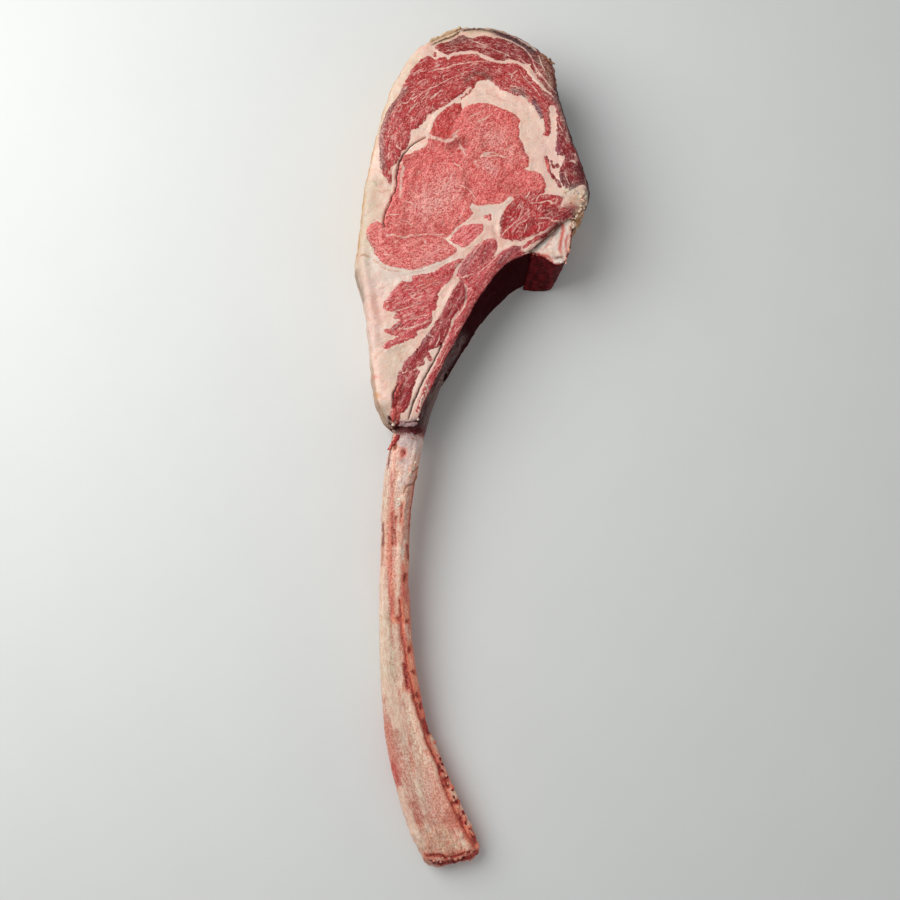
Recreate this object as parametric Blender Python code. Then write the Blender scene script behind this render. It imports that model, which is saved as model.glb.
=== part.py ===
"""A raw tomahawk steak: one rib steak about 52 mm thick on its long frenched rib.

The steak lies on a cut face, with the rib's free end towards -Y. Each muscle is a solid that
runs through the fat around it. Lengths below are in millimetres, and metres in the scene.
"""

import math

import bmesh
import bpy
from mathutils import Matrix, Vector

MM = 0.001
GAP = 0.3 * MM              # clearance between neighbouring solids

THICKNESS = 52.0            # of the steak over the eye of the meat
TAIL_THICKNESS = 46.0       # where the rib comes out
TAIL_END_Y = 25.0           # the thickness is down to the tail's by here
FULL_Y = 125.0              # and full from here on
EDGE_ROUND = 4.0            # radius of the rim along the cut faces
WALL_BULGE = 2.2            # how far the side wall swells at half height
MUSCLE_RISE = 0.8           # muscles stand this much above the fat
MUSCLE_ROUND = 0.9          # drop along a muscle's own rim
RIM_INSETS = (0.5, 1.3, 2.4)    # widths of the rings of faces that carry the round rim
WALL_LEVELS = (5.0, 14.0, 26.0, 38.0, 47.0)     # heights at which the side wall is divided
STEP = 3.8                  # length of a side along smooth outlines
CUT_OVER = 6.0              # how far a cutter passes a face
SHARP_FROM = math.radians(40)   # edges that turn more than this are shaded sharp

# The wall between rib and chine leans out towards the board: centre, reach and shift.
LEANS = (((26.0, 112.0), 20.0, (6.0, -5.8)), ((-2.0, 76.0), 22.0, (2.6, -2.4)))
# A soft swelling of the fat on the outer side, at half height.
SIDE_BULGE_AT = (-76.0, 112.0)
SIDE_BULGE_REACH = 16.0
SIDE_BULGE = 2.6

STEAK = [
    (0, 273), (9, 273.6), (25.5, 269), (41.5, 260), (47, 254.5), (52, 249), (54, 243),
    (56, 228.5), (58.5, 221), (61.5, 208.3), (72.8, 175.2), (75.4, 163), (69.5, 147),
    (65, 141), (46.5, 129), (36.5, 120), (28, 115.5), (20, 110.5), (10, 98), (1, 84),
    (-26.5, 31), (-33.5, 14), (-38.5, 11), (-45.5, 10), (-51.5, 8.5), (-55.5, 12.5),
    (-62.8, 31), (-68, 81.5), (-73, 111.5), (-73, 126), (-68.7, 170.5), (-56.5, 222),
    (-46, 244.5), (-39, 256.5), (-32, 261.5), (-19.5, 269), (-8.5, 273.2),
]
MUSCLES = {
    "eye_muscle": [
        (-5.5, 215), (-1, 218), (12, 219), (18.5, 216), (25, 213.5), (30.5, 207.5), (30, 199),
        (31.5, 188.5), (36, 180.5), (37, 166.5), (33, 160.5), (19.5, 152.5), (2, 151),
        (-1.5, 154), (-3, 149), (0.5, 145), (-4, 141), (-16.5, 132.5), (-40, 131.5),
        (-50.5, 132), (-55.5, 136.5), (-55.5, 144.5), (-48.5, 161), (-45, 180.5),
        (-31.5, 190.5), (-26, 195), (-19.5, 195.5), (-13, 198.5), (-6.5, 209),
    ],
    "upper_oval_muscle": [
        (-27, 200), (-27, 204), (-22, 213), (-17, 217.5), (-12.5, 219.5), (-9.5, 217.5),
        (-9, 213.5), (-11, 209), (-17.5, 201.5), (-22.5, 199),
    ],
    "lower_eye_muscle": [
        (-67, 129.5), (-68, 134.5), (-65, 138.5), (-60, 139.2), (-57, 134.5), (-53.5, 129.5),
        (-46.5, 127.5), (-23, 127.5), (-11.5, 121.5), (-11.5, 119.5), (-17.5, 116.5),
        (-26, 112), (-37, 109), (-45, 109.5), (-54, 112.5), (-61, 117.5),
    ],
    "cap_muscle": [
        (-54.5, 168), (-59, 176), (-60.5, 199.5), (-57, 210.5), (-46.5, 227.5), (-38, 244.5),
        (-31.5, 250.5), (-26.5, 250.5), (-21, 248.5), (-8, 249), (0, 246.5), (7.5, 247.5),
        (27.5, 248), (34, 243), (46, 230), (51.5, 226.5), (52, 221), (50, 216.5), (49, 209.5),
        (50.5, 203), (48.5, 199), (46.5, 201), (47, 207.5), (42.5, 213.5), (33, 224),
        (20, 228.5), (10.5, 236), (4, 236), (-6, 227.5), (-13, 224), (-24.5, 216),
        (-29.5, 213), (-39, 202), (-44.5, 189.5), (-50.5, 176.5),
    ],
    "top_muscle": [
        (-25, 257.5), (-10.5, 264.5), (-2.5, 264), (15, 264.5), (30.5, 259), (36.5, 254.5),
        (37.5, 250.5), (26, 252), (20, 253.5), (15.5, 251.5), (9.5, 252.5), (-6.5, 254.5),
        (-14.5, 254),
    ],
    "edge_muscle": [
        (55.5, 218), (57.5, 215), (59.5, 207.5), (65, 190.5), (72.5, 171), (72.5, 164.5),
        (67.5, 163), (61.5, 161.5), (57.5, 165), (56.5, 172), (60, 179.5), (54.5, 190.5),
        (55.5, 199),
    ],
    "inner_muscle": [
        (18, 131), (17.5, 137.5), (19.5, 145), (24, 150.5), (35, 157.5), (39.5, 163.5),
        (39.5, 170), (41.5, 172.5), (45, 170), (47, 164.5), (45.5, 159), (56, 156.5),
        (57.5, 150.5), (60.5, 147), (56.5, 143), (51, 140), (45, 134.5), (38, 131.5),
        (24.5, 129.5),
    ],
    "small_muscle": [
        (-14, 128), (-11.5, 134), (-6, 136.5), (5.5, 139), (7.5, 136), (4.5, 130.5),
        (-6, 123.5),
    ],
    "flank_muscle": [
        (-8, 115), (-29, 105.5), (-38, 104.5), (-40, 101), (-46, 101), (-49, 95.5),
        (-57.5, 86), (-55.5, 82), (-49, 81), (-50.5, 77), (-46.5, 75), (-51, 71.5),
        (-56.5, 69.5), (-52, 67), (-46, 66), (-56.5, 59), (-54.5, 57.5), (-41.5, 63),
        (-35.5, 68), (-29.5, 73), (-25, 84), (-24.5, 90.5), (-15, 101.5), (-12.5, 108),
    ],
}
# These two lie over the rib, so they go down to it and no further.
MUSCLES_ON_THE_RIB = {
    "rib_strip_muscle": [
        (-9, 101.5), (-21, 79), (-38.5, 53), (-44, 47), (-46, 39.5), (-48, 31), (-49, 17),
        (-46.5, 15), (-44.5, 20.5), (-41, 28), (-38.5, 37), (-37, 44.5), (-27, 56),
        (-17.5, 69.5), (-14, 77.5), (-8, 84.5), (-5, 96.5),
    ],
    "intercostal_muscle": [
        (10.5, 127), (4.5, 123.5), (-5.5, 113.5), (-8, 108), (-5.5, 104.5), (-3, 99.5),
        (1.5, 98.5), (6.5, 103.5), (17.5, 115), (27.5, 122), (26.5, 125), (21.5, 123),
        (16.5, 119.5), (14, 121.5), (13.5, 125.5),
    ],
}
ON_THE_RIB_FROM = 34.0      # height at which those two start, before the rib is cut out

CHINE = [
    (65.5, 144.5), (64.2, 133), (63, 123), (59.5, 114), (54.5, 112.5), (43.5, 119),
    (36.5, 121.5), (56, 138),
]
# Where each of those corners stands on the board.
CHINE_FOOT = [
    (62.0, 142.5), (60.5, 129), (58, 118), (55, 109.5), (51.5, 107.5), (42.5, 107.5),
    (34.5, 108.5), (54, 136.5),
]
CHINE_TOP = 51.6
CHINE_DROP = 2.4            # how much lower the chine's outer corner is cut
CHINE_BEVEL = 1.2
CHINE_BEVEL_FROM = math.radians(17)     # edges of the chine that turn more than this are soft
CHINE_INNER = (50.0, 134.0)  # the highest place of its sawn top

# Along the rib: x, y, height of its middle, width, depth, roll in degrees.
RIB = [
    (29.0, 119.6, 24, 10, 19, 0), (20.0, 117.4, 24, 14, 25, 0), (10.5, 110.4, 24, 17, 29, 0),
    (-0.5, 98.0, 24, 17, 30, 0), (-8.2, 86.5, 24, 17, 30, 0), (-14.6, 75.5, 24, 17.5, 30, 0),
    (-20.4, 63.3, 24, 19, 30, 0), (-28.0, 46.3, 24, 20.5, 30, 0), (-34.3, 30.3, 24, 21, 30, 0),
    (-39.8, 13.2, 24, 21, 30.5, -2), (-43.9, -6.0, 23.5, 20.6, 30, -4),
    (-46.9, -25.0, 22.5, 20, 29, -6), (-49.4, -52.0, 20.5, 19, 28, -9),
    (-50.2, -80.0, 18.5, 18.3, 26, -11), (-50.1, -106.0, 16.5, 19.4, 24.5, -12),
    (-49.2, -132.0, 14.5, 22.3, 23.5, -11), (-46.9, -155.0, 12.7, 24.2, 22.5, -9),
    (-43.3, -180.0, 11.2, 27.4, 21.5, -6), (-37.1, -203.0, 10.2, 30.8, 20.5, -3),
    (-29.2, -225.5, 9.6, 33.6, 19.5, -1), (-20.6, -246.0, 9.2, 36, 18.8, 0),
    (-15.0, -258.0, 9.0, 38.5, 18.2, 0),
]
# The sawn end: the same values for the last rings, which close it with a soft edge.
RIB_END = [
    (-13.4, -263.2, 8.9, 38.0, 16.6, 0), (-12.6, -266.2, 8.6, 34.0, 13.0, 0),
    (-12.2, -267.9, 8.2, 26.0, 7.5, 0),
]
RIB_END_FACING = Vector((0.19, -0.982, 0.0))
RIB_SIDES = 20
RIB_RING_EVERY = 9.0
RIB_SQUARENESS = 0.86       # below 1 the section is fuller than an ellipse
RIB_END_TURN = 3.0          # rings over which the rib turns to face as its sawn end does

# name: colour, roughness
FINISHES = {
    "fat": ((0.72, 0.52, 0.42), 0.42),
    "lean": ((0.50, 0.13, 0.11), 0.38),
    "dark_lean": ((0.30, 0.05, 0.05), 0.38),
    "pale_lean": ((0.45, 0.14, 0.14), 0.40),
    "bone": ((0.55, 0.30, 0.21), 0.45),
    "cut_bone": ((0.72, 0.45, 0.38), 0.55),
}
MUSCLE_FINISH = {
    "edge_muscle": "dark_lean", "inner_muscle": "dark_lean", "cap_muscle": "dark_lean",
    "intercostal_muscle": "pale_lean", "rib_strip_muscle": "dark_lean",
}


def clear_scene():
    for obj in list(bpy.data.objects):
        bpy.data.objects.remove(obj, do_unlink=True)


def finish_material(name):
    """The Principled material of one finish, made once."""
    material = bpy.data.materials.get(name)
    if material is None:
        colour, roughness = FINISHES[name]
        material = bpy.data.materials.new(name)
        material.use_nodes = True
        shader = material.node_tree.nodes["Principled BSDF"]
        shader.inputs["Base Color"].default_value = (*colour, 1.0)
        shader.inputs["Roughness"].default_value = roughness
        shader.inputs["Metallic"].default_value = 0.0
    return material


def add_object(name, bm, finish=None):
    """Turns a bmesh into a named object, smooth but for its sharp edges."""
    bmesh.ops.recalc_face_normals(bm, faces=bm.faces)
    mesh = bpy.data.meshes.new(name)
    bm.to_mesh(mesh)
    bm.free()
    obj = bpy.data.objects.new(name, mesh)
    bpy.context.scene.collection.objects.link(obj)
    if finish:
        mesh.materials.append(finish_material(finish))
        mesh.shade_smooth()
        mesh.set_sharp_from_angle(angle=SHARP_FROM)
    return obj


def smooth_blend(value, low, high):
    part = min(1.0, max(0.0, (value - low) / (high - low)))
    return part * part * (3.0 - 2.0 * part)


def curve_point(before, start, end, after, part):
    """A Catmull-Rom curve from start to end, for rows of any length."""
    return tuple(
        0.5 * (2 * b + (c - a) * part + (2 * a - 5 * b + 4 * c - d) * part ** 2
               + (3 * b - a - 3 * c + d) * part ** 3)
        for a, b, c, d in zip(before, start, end, after)
    )


def smooth_loop(points):
    """A closed smooth outline through the points, in metres, sampled every STEP or so."""
    count = len(points)
    loop = []
    for i in range(count):
        near = [points[(i + k) % count] for k in (-1, 0, 1, 2)]
        pieces = max(1, round(math.dist(near[1], near[2]) / STEP))
        loop += [Vector(curve_point(*near, k / pieces)) * MM for k in range(pieces)]
    return loop


def widened(loop, by):
    """The outline moved outwards, each point along the bisector of its two sides."""
    area = sum(a.cross(b) for a, b in zip(loop, loop[1:] + loop[:1]))
    outward = 1.0 if area > 0 else -1.0
    moved = []
    for i, point in enumerate(loop):
        ahead = (loop[(i + 1) % len(loop)] - point).normalized()
        behind = (point - loop[i - 1]).normalized()
        along = (ahead + behind).normalized()
        stretch = 1.0 / max(0.5, along.dot(ahead))
        moved.append(point + Vector((along.y, -along.x)) * outward * by * stretch)
    return moved


def slab(loop, bottom, top):
    """A bmesh prism over the outline, and the face on its top."""
    bm = bmesh.new()
    base = bm.faces.new([bm.verts.new((p.x, p.y, bottom)) for p in loop])
    grown = bmesh.ops.extrude_face_region(bm, geom=[base, *base.edges])["geom"]
    verts = [item for item in grown if isinstance(item, bmesh.types.BMVert)]
    bmesh.ops.translate(bm, verts=verts, vec=(0, 0, top - bottom))
    lid = next(item for item in grown if isinstance(item, bmesh.types.BMFace))
    return bm, lid


def rim_distance(x, y, rim):
    """How far inside the steak's outline a point lies."""
    point = Vector((x, y))
    best = math.inf
    for start, end in zip(rim, rim[1:] + rim[:1]):
        side = end - start
        part = min(1.0, max(0.0, (point - start).dot(side) / side.length_squared))
        best = min(best, (start + side * part - point).length_squared)
    return math.sqrt(best)


def shape_meat(mesh, rim):
    """Gives flat slabs the steak's form: thinner tail, round rim, leaning and swollen wall."""
    top = THICKNESS * MM
    half = top / 2
    for vertex in mesh.vertices:
        x, y, z = vertex.co
        height = min(1.0, z / top)
        inside = rim_distance(x, y, rim) / MM
        drop = 0.0
        if inside < EDGE_ROUND:
            drop = EDGE_ROUND - math.sqrt(EDGE_ROUND ** 2 - (EDGE_ROUND - inside) ** 2)
        drop *= MM * abs(z - half) / half
        tail = 1.0 - smooth_blend(y / MM, TAIL_END_Y, FULL_Y)
        z += -drop if z > half else drop
        z *= 1.0 - tail * (1.0 - TAIL_THICKNESS / THICKNESS)
        for centre, reach, shift in LEANS:
            near = math.exp(-math.dist((x / MM, y / MM), centre) ** 2 / (2 * reach ** 2))
            x += shift[0] * MM * near * (1.0 - height)
            y += shift[1] * MM * near * (1.0 - height)
        if inside < EDGE_ROUND:
            swell = 4.0 * height * (1.0 - height) * (1.0 - inside / EDGE_ROUND)
            near_bulge = math.dist((x / MM, y / MM), SIDE_BULGE_AT) / SIDE_BULGE_REACH
            swell *= WALL_BULGE + SIDE_BULGE * math.exp(-near_bulge ** 2)
            outward = rim_normal(x, y, rim)
            x += outward.x * swell * MM
            y += outward.y * swell * MM
        vertex.co = (x, y, max(0.0, z))


def rim_normal(x, y, rim):
    """The outward direction of the steak's outline near a point."""
    point = Vector((x, y))
    sides = list(zip(rim, rim[1:] + rim[:1]))
    start, end = min(sides, key=lambda side: ((side[0] + side[1]) / 2 - point).length_squared)
    side = (end - start).normalized()
    area = sum(a.cross(b) for a, b in sides)
    return Vector((side.y, -side.x)) * (1.0 if area > 0 else -1.0)


def whole_steak(rim):
    """The steak without its bones, before the muscles are let in: flat, ready to be shaped."""
    bm, lid = slab(rim, 0.0, THICKNESS * MM)
    floor_face = min(bm.faces, key=lambda face: face.calc_center_median().z)
    for face in (lid, floor_face):
        for width in RIM_INSETS:
            bmesh.ops.inset_region(bm, faces=[face], thickness=width * MM, use_even_offset=True)
    for level in WALL_LEVELS:
        walls = [face for face in bm.faces if abs(face.normal.z) < 0.5]
        edges = {edge for face in walls for edge in face.edges}
        verts = {vert for face in walls for vert in face.verts}
        bmesh.ops.bisect_plane(bm, geom=[*walls, *edges, *verts], dist=1e-6,
                               plane_co=(0, 0, level * MM), plane_no=(0, 0, 1))
    return add_object("fat_layer", bm, "fat")


def muscle(name, loop, bottom):
    """One muscle, flat, with a soft rim along its upper cut."""
    top = (THICKNESS + MUSCLE_RISE) * MM
    bm, lid = slab(loop, bottom, top)
    rim_verts = list(lid.verts)
    bmesh.ops.inset_region(bm, faces=[lid], thickness=MUSCLE_ROUND * MM, use_even_offset=True)
    bmesh.ops.translate(bm, verts=rim_verts, vec=(0, 0, -MUSCLE_ROUND * MM))
    return add_object(name, bm, MUSCLE_FINISH.get(name, "lean"))


def cut_away(obj, cutters):
    """Subtracts the cutters, which go afterwards, and keeps the object's finish."""
    for cutter in cutters:
        cutter.hide_render = True
        cutter.display_type = "WIRE"
        modifier = obj.modifiers.new("cut", "BOOLEAN")
        modifier.operation = "DIFFERENCE"
        modifier.solver = "EXACT"
        modifier.object = cutter
    bpy.context.view_layer.update()
    cut = bpy.data.meshes.new_from_object(obj.evaluated_get(bpy.context.evaluated_depsgraph_get()))
    obj.modifiers.clear()
    obj.data = cut
    cut.shade_smooth()
    cut.set_sharp_from_angle(angle=SHARP_FROM)
    for cutter in cutters:
        bpy.data.objects.remove(cutter, do_unlink=True)


def rib_rings():
    """The rib's rings from the chine to its sawn end: place, facing, width, depth, roll."""
    rows = []
    for i in range(len(RIB) - 1):
        near = [RIB[max(0, i - 1)], RIB[i], RIB[i + 1], RIB[min(len(RIB) - 1, i + 2)]]
        pieces = max(1, round(math.dist(near[1][:2], near[2][:2]) / RIB_RING_EVERY))
        rows += [curve_point(*near, k / pieces) for k in range(pieces)]
    rows.append(RIB[-1])
    rings = []
    for i, row in enumerate(rows):
        ahead, behind = rows[min(i + 1, len(rows) - 1)], rows[max(0, i - 1)]
        facing = Vector((ahead[0] - behind[0], ahead[1] - behind[1], ahead[2] - behind[2]))
        left = (len(rows) - 1 - i) / RIB_END_TURN
        turn = max(0.0, 1.0 - left)
        rings.append((row, facing.normalized().lerp(RIB_END_FACING, turn).normalized()))
    return rings + [(row, RIB_END_FACING) for row in RIB_END]


def ring_matrix(row, facing, extra):
    """Takes a unit circle in XY to one ring of the rib, extra millimetres larger all round."""
    x, y, middle, width, depth, roll = row
    across = facing.cross(Vector((0, 0, 1))).normalized()
    up = across.cross(facing)
    turn = Matrix((across, up, -facing)).transposed().to_4x4()
    turn = turn @ Matrix.Rotation(math.radians(roll), 4, "Z")
    size = Matrix.Diagonal(((width / 2 + extra) * MM, (depth / 2 + extra) * MM, 1.0, 1.0))
    return Matrix.Translation(Vector((x, y, middle)) * MM) @ turn @ size


def rib(name, extra=0.0, finish=None):
    """The rib, drawn out ring by ring."""
    bm = bmesh.new()
    circle = bmesh.ops.create_circle(bm, cap_ends=True, segments=RIB_SIDES, radius=1.0)["verts"]
    for vert in circle:
        vert.co.x = math.copysign(abs(vert.co.x) ** RIB_SQUARENESS, vert.co.x)
        vert.co.y = math.copysign(abs(vert.co.y) ** RIB_SQUARENESS, vert.co.y)
    rings = rib_rings()
    placed = ring_matrix(*rings[0], extra)
    bmesh.ops.transform(bm, matrix=placed, verts=bm.verts)
    lid = bm.faces[:][0]
    for ring in rings[1:]:
        grown = bmesh.ops.extrude_face_region(bm, geom=[lid, *lid.edges])["geom"]
        verts = [item for item in grown if isinstance(item, bmesh.types.BMVert)]
        lid = next(item for item in grown if isinstance(item, bmesh.types.BMFace))
        target = ring_matrix(*ring, extra)
        bmesh.ops.transform(bm, matrix=target @ placed.inverted(), verts=verts)
        placed = target
    if finish:
        for vert in bm.verts:
            vert.co.z = max(0.0, vert.co.z)
    return add_object(name, bm, finish)


def chine(name, top, foot, finish=None):
    """The piece of backbone between its upper and its lower outline.

    The bone has soft edges, and its sawn top slopes down to the outer corner. The room that is
    cut for it goes straight on past both cut faces of the steak.
    """
    bm, lid = slab(foot, 0.0, CHINE_TOP * MM)
    below = {}
    for vert in lid.verts:
        near = min(range(len(foot)), key=lambda i: (foot[i] - vert.co.xy).length)
        below[vert] = foot[near].to_3d()
        vert.co.xy = top[near]
    floor_face = min(bm.faces, key=lambda face: face.calc_center_median().z)
    sides = [face for face in bm.faces if face not in (lid, floor_face)]
    bmesh.ops.triangulate(bm, faces=sides, quad_method="FIXED")
    if finish is None:
        for face, up in ((lid, 1), (floor_face, -1)):
            grown = bmesh.ops.extrude_face_region(bm, geom=[face, *face.edges])["geom"]
            verts = [item for item in grown if isinstance(item, bmesh.types.BMVert)]
            bmesh.ops.translate(bm, verts=verts, vec=(0, 0, up * CUT_OVER * MM))
        return add_object(name, bm)
    inner = Vector(CHINE_INNER) * MM
    reach = max((vert.co.xy - inner).length for vert in lid.verts)
    for vert in lid.verts:
        drop = CHINE_DROP / CHINE_TOP * (vert.co.xy - inner).length / reach
        vert.co = vert.co.lerp(below[vert], drop)
    sharp = [edge for edge in bm.edges if edge.calc_face_angle(0) > CHINE_BEVEL_FROM]
    bmesh.ops.bevel(bm, geom=sharp, offset=CHINE_BEVEL * MM, segments=2, profile=0.5,
                    affect="EDGES", clamp_overlap=True)
    return add_object(name, bm, finish)


def straight_loop(points):
    return [Vector(point) * MM for point in points]


def settle_on_origin():
    """Moves every mesh so that the steak's box stands centred on the origin."""
    objects = [obj for obj in bpy.data.objects if obj.type == "MESH"]
    corners = [vert.co for obj in objects for vert in obj.data.vertices]
    low = Vector(min(co[axis] for co in corners) for axis in range(3))
    high = Vector(max(co[axis] for co in corners) for axis in range(3))
    shift = Vector((-(low.x + high.x) / 2, -(low.y + high.y) / 2, -low.z))
    for obj in objects:
        obj.data.transform(Matrix.Translation(shift))


def main():
    clear_scene()
    rim = smooth_loop(STEAK)
    loops = {name: smooth_loop(points) for name, points in MUSCLES.items()}
    upper = {name: smooth_loop(points) for name, points in MUSCLES_ON_THE_RIB.items()}
    over = CUT_OVER * MM
    fat = whole_steak(rim)
    muscles = []
    cutters = []
    for name, loop in [*loops.items(), *upper.items()]:
        floor = ON_THE_RIB_FROM * MM if name in upper else 0.0
        muscles.append(muscle(name, loop, floor))
        bottom = floor - GAP if name in upper else -over
        bm, _ = slab(widened(loop, GAP), bottom, THICKNESS * MM + over)
        cutters.append(add_object(f"{name}_pocket", bm))
    cut_away(fat, cutters)
    for obj in [fat, *muscles]:
        shape_meat(obj.data, rim)
    for obj in muscles[len(loops):]:
        cut_away(obj, [rib("rib_channel", extra=GAP / MM)])
    top, foot = straight_loop(CHINE), straight_loop(CHINE_FOOT)
    chine_room = chine("chine_room", widened(top, GAP), widened(foot, GAP))
    cut_away(fat, [rib("rib_channel", extra=GAP / MM), chine_room])
    rib("rib_bone", finish="bone")
    chine("chine_bone", top, foot, finish="cut_bone")
    settle_on_origin()


main()
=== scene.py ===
"""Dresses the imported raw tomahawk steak: meat, scraped rib, sawn chine, loose scraps and a stage.

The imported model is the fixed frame. Rows of points are in millimetres, as (x, y) on the table;
meshes and settings are in metres.
"""

import math
import random

import bmesh
import bpy
import numpy as np
from mathutils import Euler, Matrix, Vector, kdtree, noise


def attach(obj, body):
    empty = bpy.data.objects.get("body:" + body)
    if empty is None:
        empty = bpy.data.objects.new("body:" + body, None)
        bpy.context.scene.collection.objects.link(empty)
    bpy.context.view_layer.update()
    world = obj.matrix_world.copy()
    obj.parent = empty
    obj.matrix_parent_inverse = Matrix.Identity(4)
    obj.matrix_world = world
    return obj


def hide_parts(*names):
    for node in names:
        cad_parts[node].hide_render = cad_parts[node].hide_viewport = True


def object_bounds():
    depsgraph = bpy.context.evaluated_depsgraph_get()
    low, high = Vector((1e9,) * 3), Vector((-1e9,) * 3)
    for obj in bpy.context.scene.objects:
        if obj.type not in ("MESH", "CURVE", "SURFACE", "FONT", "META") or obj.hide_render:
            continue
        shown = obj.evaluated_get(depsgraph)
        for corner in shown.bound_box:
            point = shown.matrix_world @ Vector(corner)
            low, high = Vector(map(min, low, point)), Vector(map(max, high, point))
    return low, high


bl_info = {
    "name": "Raw tomahawk steak",
    "version": (1, 0, 0),
    "blender": (4, 5, 0),
    "location": "View3D > Sidebar > Steak",
    "description": "Meat, rib, chine and stage around the packed steak",
    "category": "Add Mesh",
}

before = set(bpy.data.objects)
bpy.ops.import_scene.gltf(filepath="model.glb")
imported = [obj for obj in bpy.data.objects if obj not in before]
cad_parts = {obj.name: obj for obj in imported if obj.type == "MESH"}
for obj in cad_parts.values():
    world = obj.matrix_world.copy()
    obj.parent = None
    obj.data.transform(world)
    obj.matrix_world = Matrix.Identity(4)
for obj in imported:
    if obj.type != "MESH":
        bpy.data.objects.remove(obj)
CAD_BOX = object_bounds()
MM = 0.001

# Each muscle: colour, marbling, direction of its fibres in degrees, how drawn out they are.
# A direction of None means that the fibres run round the eye of the meat.
MUSCLES = {
    "eye_muscle": ((231, 102, 97), 0.4, 48, 1.5),
    "upper_oval_muscle": ((201, 59, 56), 0.4, 60, 1.5),
    "lower_eye_muscle": ((231, 112, 106), 0.45, 12, 1.8),
    "cap_muscle": ((188, 55, 55), 0.85, None, 3.0),
    "top_muscle": ((154, 34, 34), 0.7, None, 3.0),
    "edge_muscle": ((152, 26, 32), 0.6, None, 2.0),
    "inner_muscle": ((187, 38, 43), 1.0, 50, 2.6),
    "small_muscle": ((230, 110, 108), 0.4, 38, 2.6),
    "flank_muscle": ((206, 74, 76), 0.8, 30, 3.4),
    "rib_strip_muscle": ((164, 32, 40), 0.6, 62, 3.6),
    "intercostal_muscle": ((204, 78, 80), 0.8, 50, 3.4),
}
OVER_THE_RIB = ("rib_strip_muscle", "intercostal_muscle")    # these don't reach the lower cut

EYE_MIDDLE = (4.0, 178.0)
TOP = 52.2                   # height of the upper cut beside the chine
RIM = 38.0                   # the upper cut and its rounded rim lie above this height
UPPER_CUT = 44.0             # the lean areas below hold from here up
LOWER_CUT = 6.0              # and the solids' own outlines from here down
LEAN_BIAS = 0.35             # how much farther the lean reaches than its drawn outline
FAR = 8.0                    # distances to an outline are told apart up to here
FUSING = 0.4                 # how much a muscle grows to be one skin with the fat
CHINE_REACH = 9.0            # how far from the chine the meat's rim is looked at
CHINE_GAP = 0.5              # what is left open between the two
TO_THE_MEAT = (-0.65, 0.76)  # the way from the chine to the meat
RIB_STEP = 6.0               # the rib's sections are measured this far apart

# The colours that the sidebar offers.
FAT_COLOUR = (248, 212, 195)
VEIN_COLOUR = (240, 198, 182)
RIB_COLOUR = (238, 194, 174)
CHINE_COLOUR = (255, 240, 226)
FLOOR_COLOUR = (232, 234, 233)

# The stage, in metres and degrees.
WINDOW_PLACE = (-0.59, 0.29, 0.71)
WINDOW_SIZE = 0.92
WINDOW_TINT = (1.0, 1.0, 0.985)
WINDOW_POWER = 7.5           # watts
LIT_PLACE = (0.0, 0.05, 0.03)
ROOM_LIGHT = 0.35
CAMERA_XY = (-0.01428, -0.0997)
CAMERA_TILT = 7.0
LENS, SENSOR = 46.8, 36.0

# The side wall, zone by zone: colour, how far inside lean meat it counts as, and where it runs.
WALL_ZONES = [
    ((206, 172, 134), -3.0, [(-74, 124), (-69, 168), (-57, 219), (-46, 242), (-32, 259), (-20, 266)]),
    ((214, 184, 150), -3.0, [(-8, 271), (8, 271), (22, 267)]),
    ((84, 34, 38), 1.0, [(30, 264), (42, 257), (52, 246), (56, 226), (62, 206), (68, 186)]),
    ((70, 24, 32), 2.0, [(73, 172), (75, 160)]),
    ((196, 150, 120), -2.0, [(70, 146), (66, 139)]),
    # the hollow side by the rib: dark burgundy meat, made darker still as painted shade
    ((52, 6, 10), 3.0, [(36, 117), (20, 108), (1, 82), (-26, 29), (-33, 12)]),
    ((96, 34, 36), 2.0, [(-39, 8), (-46, 7), (-52, 6)]),
    ((190, 160, 140), -3.0, [(-56, 10), (-60, 20), (-64, 32)]),
    ((222, 196, 180), -3.0, [(-66, 55), (-70, 80), (-75, 108)]),
]

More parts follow.
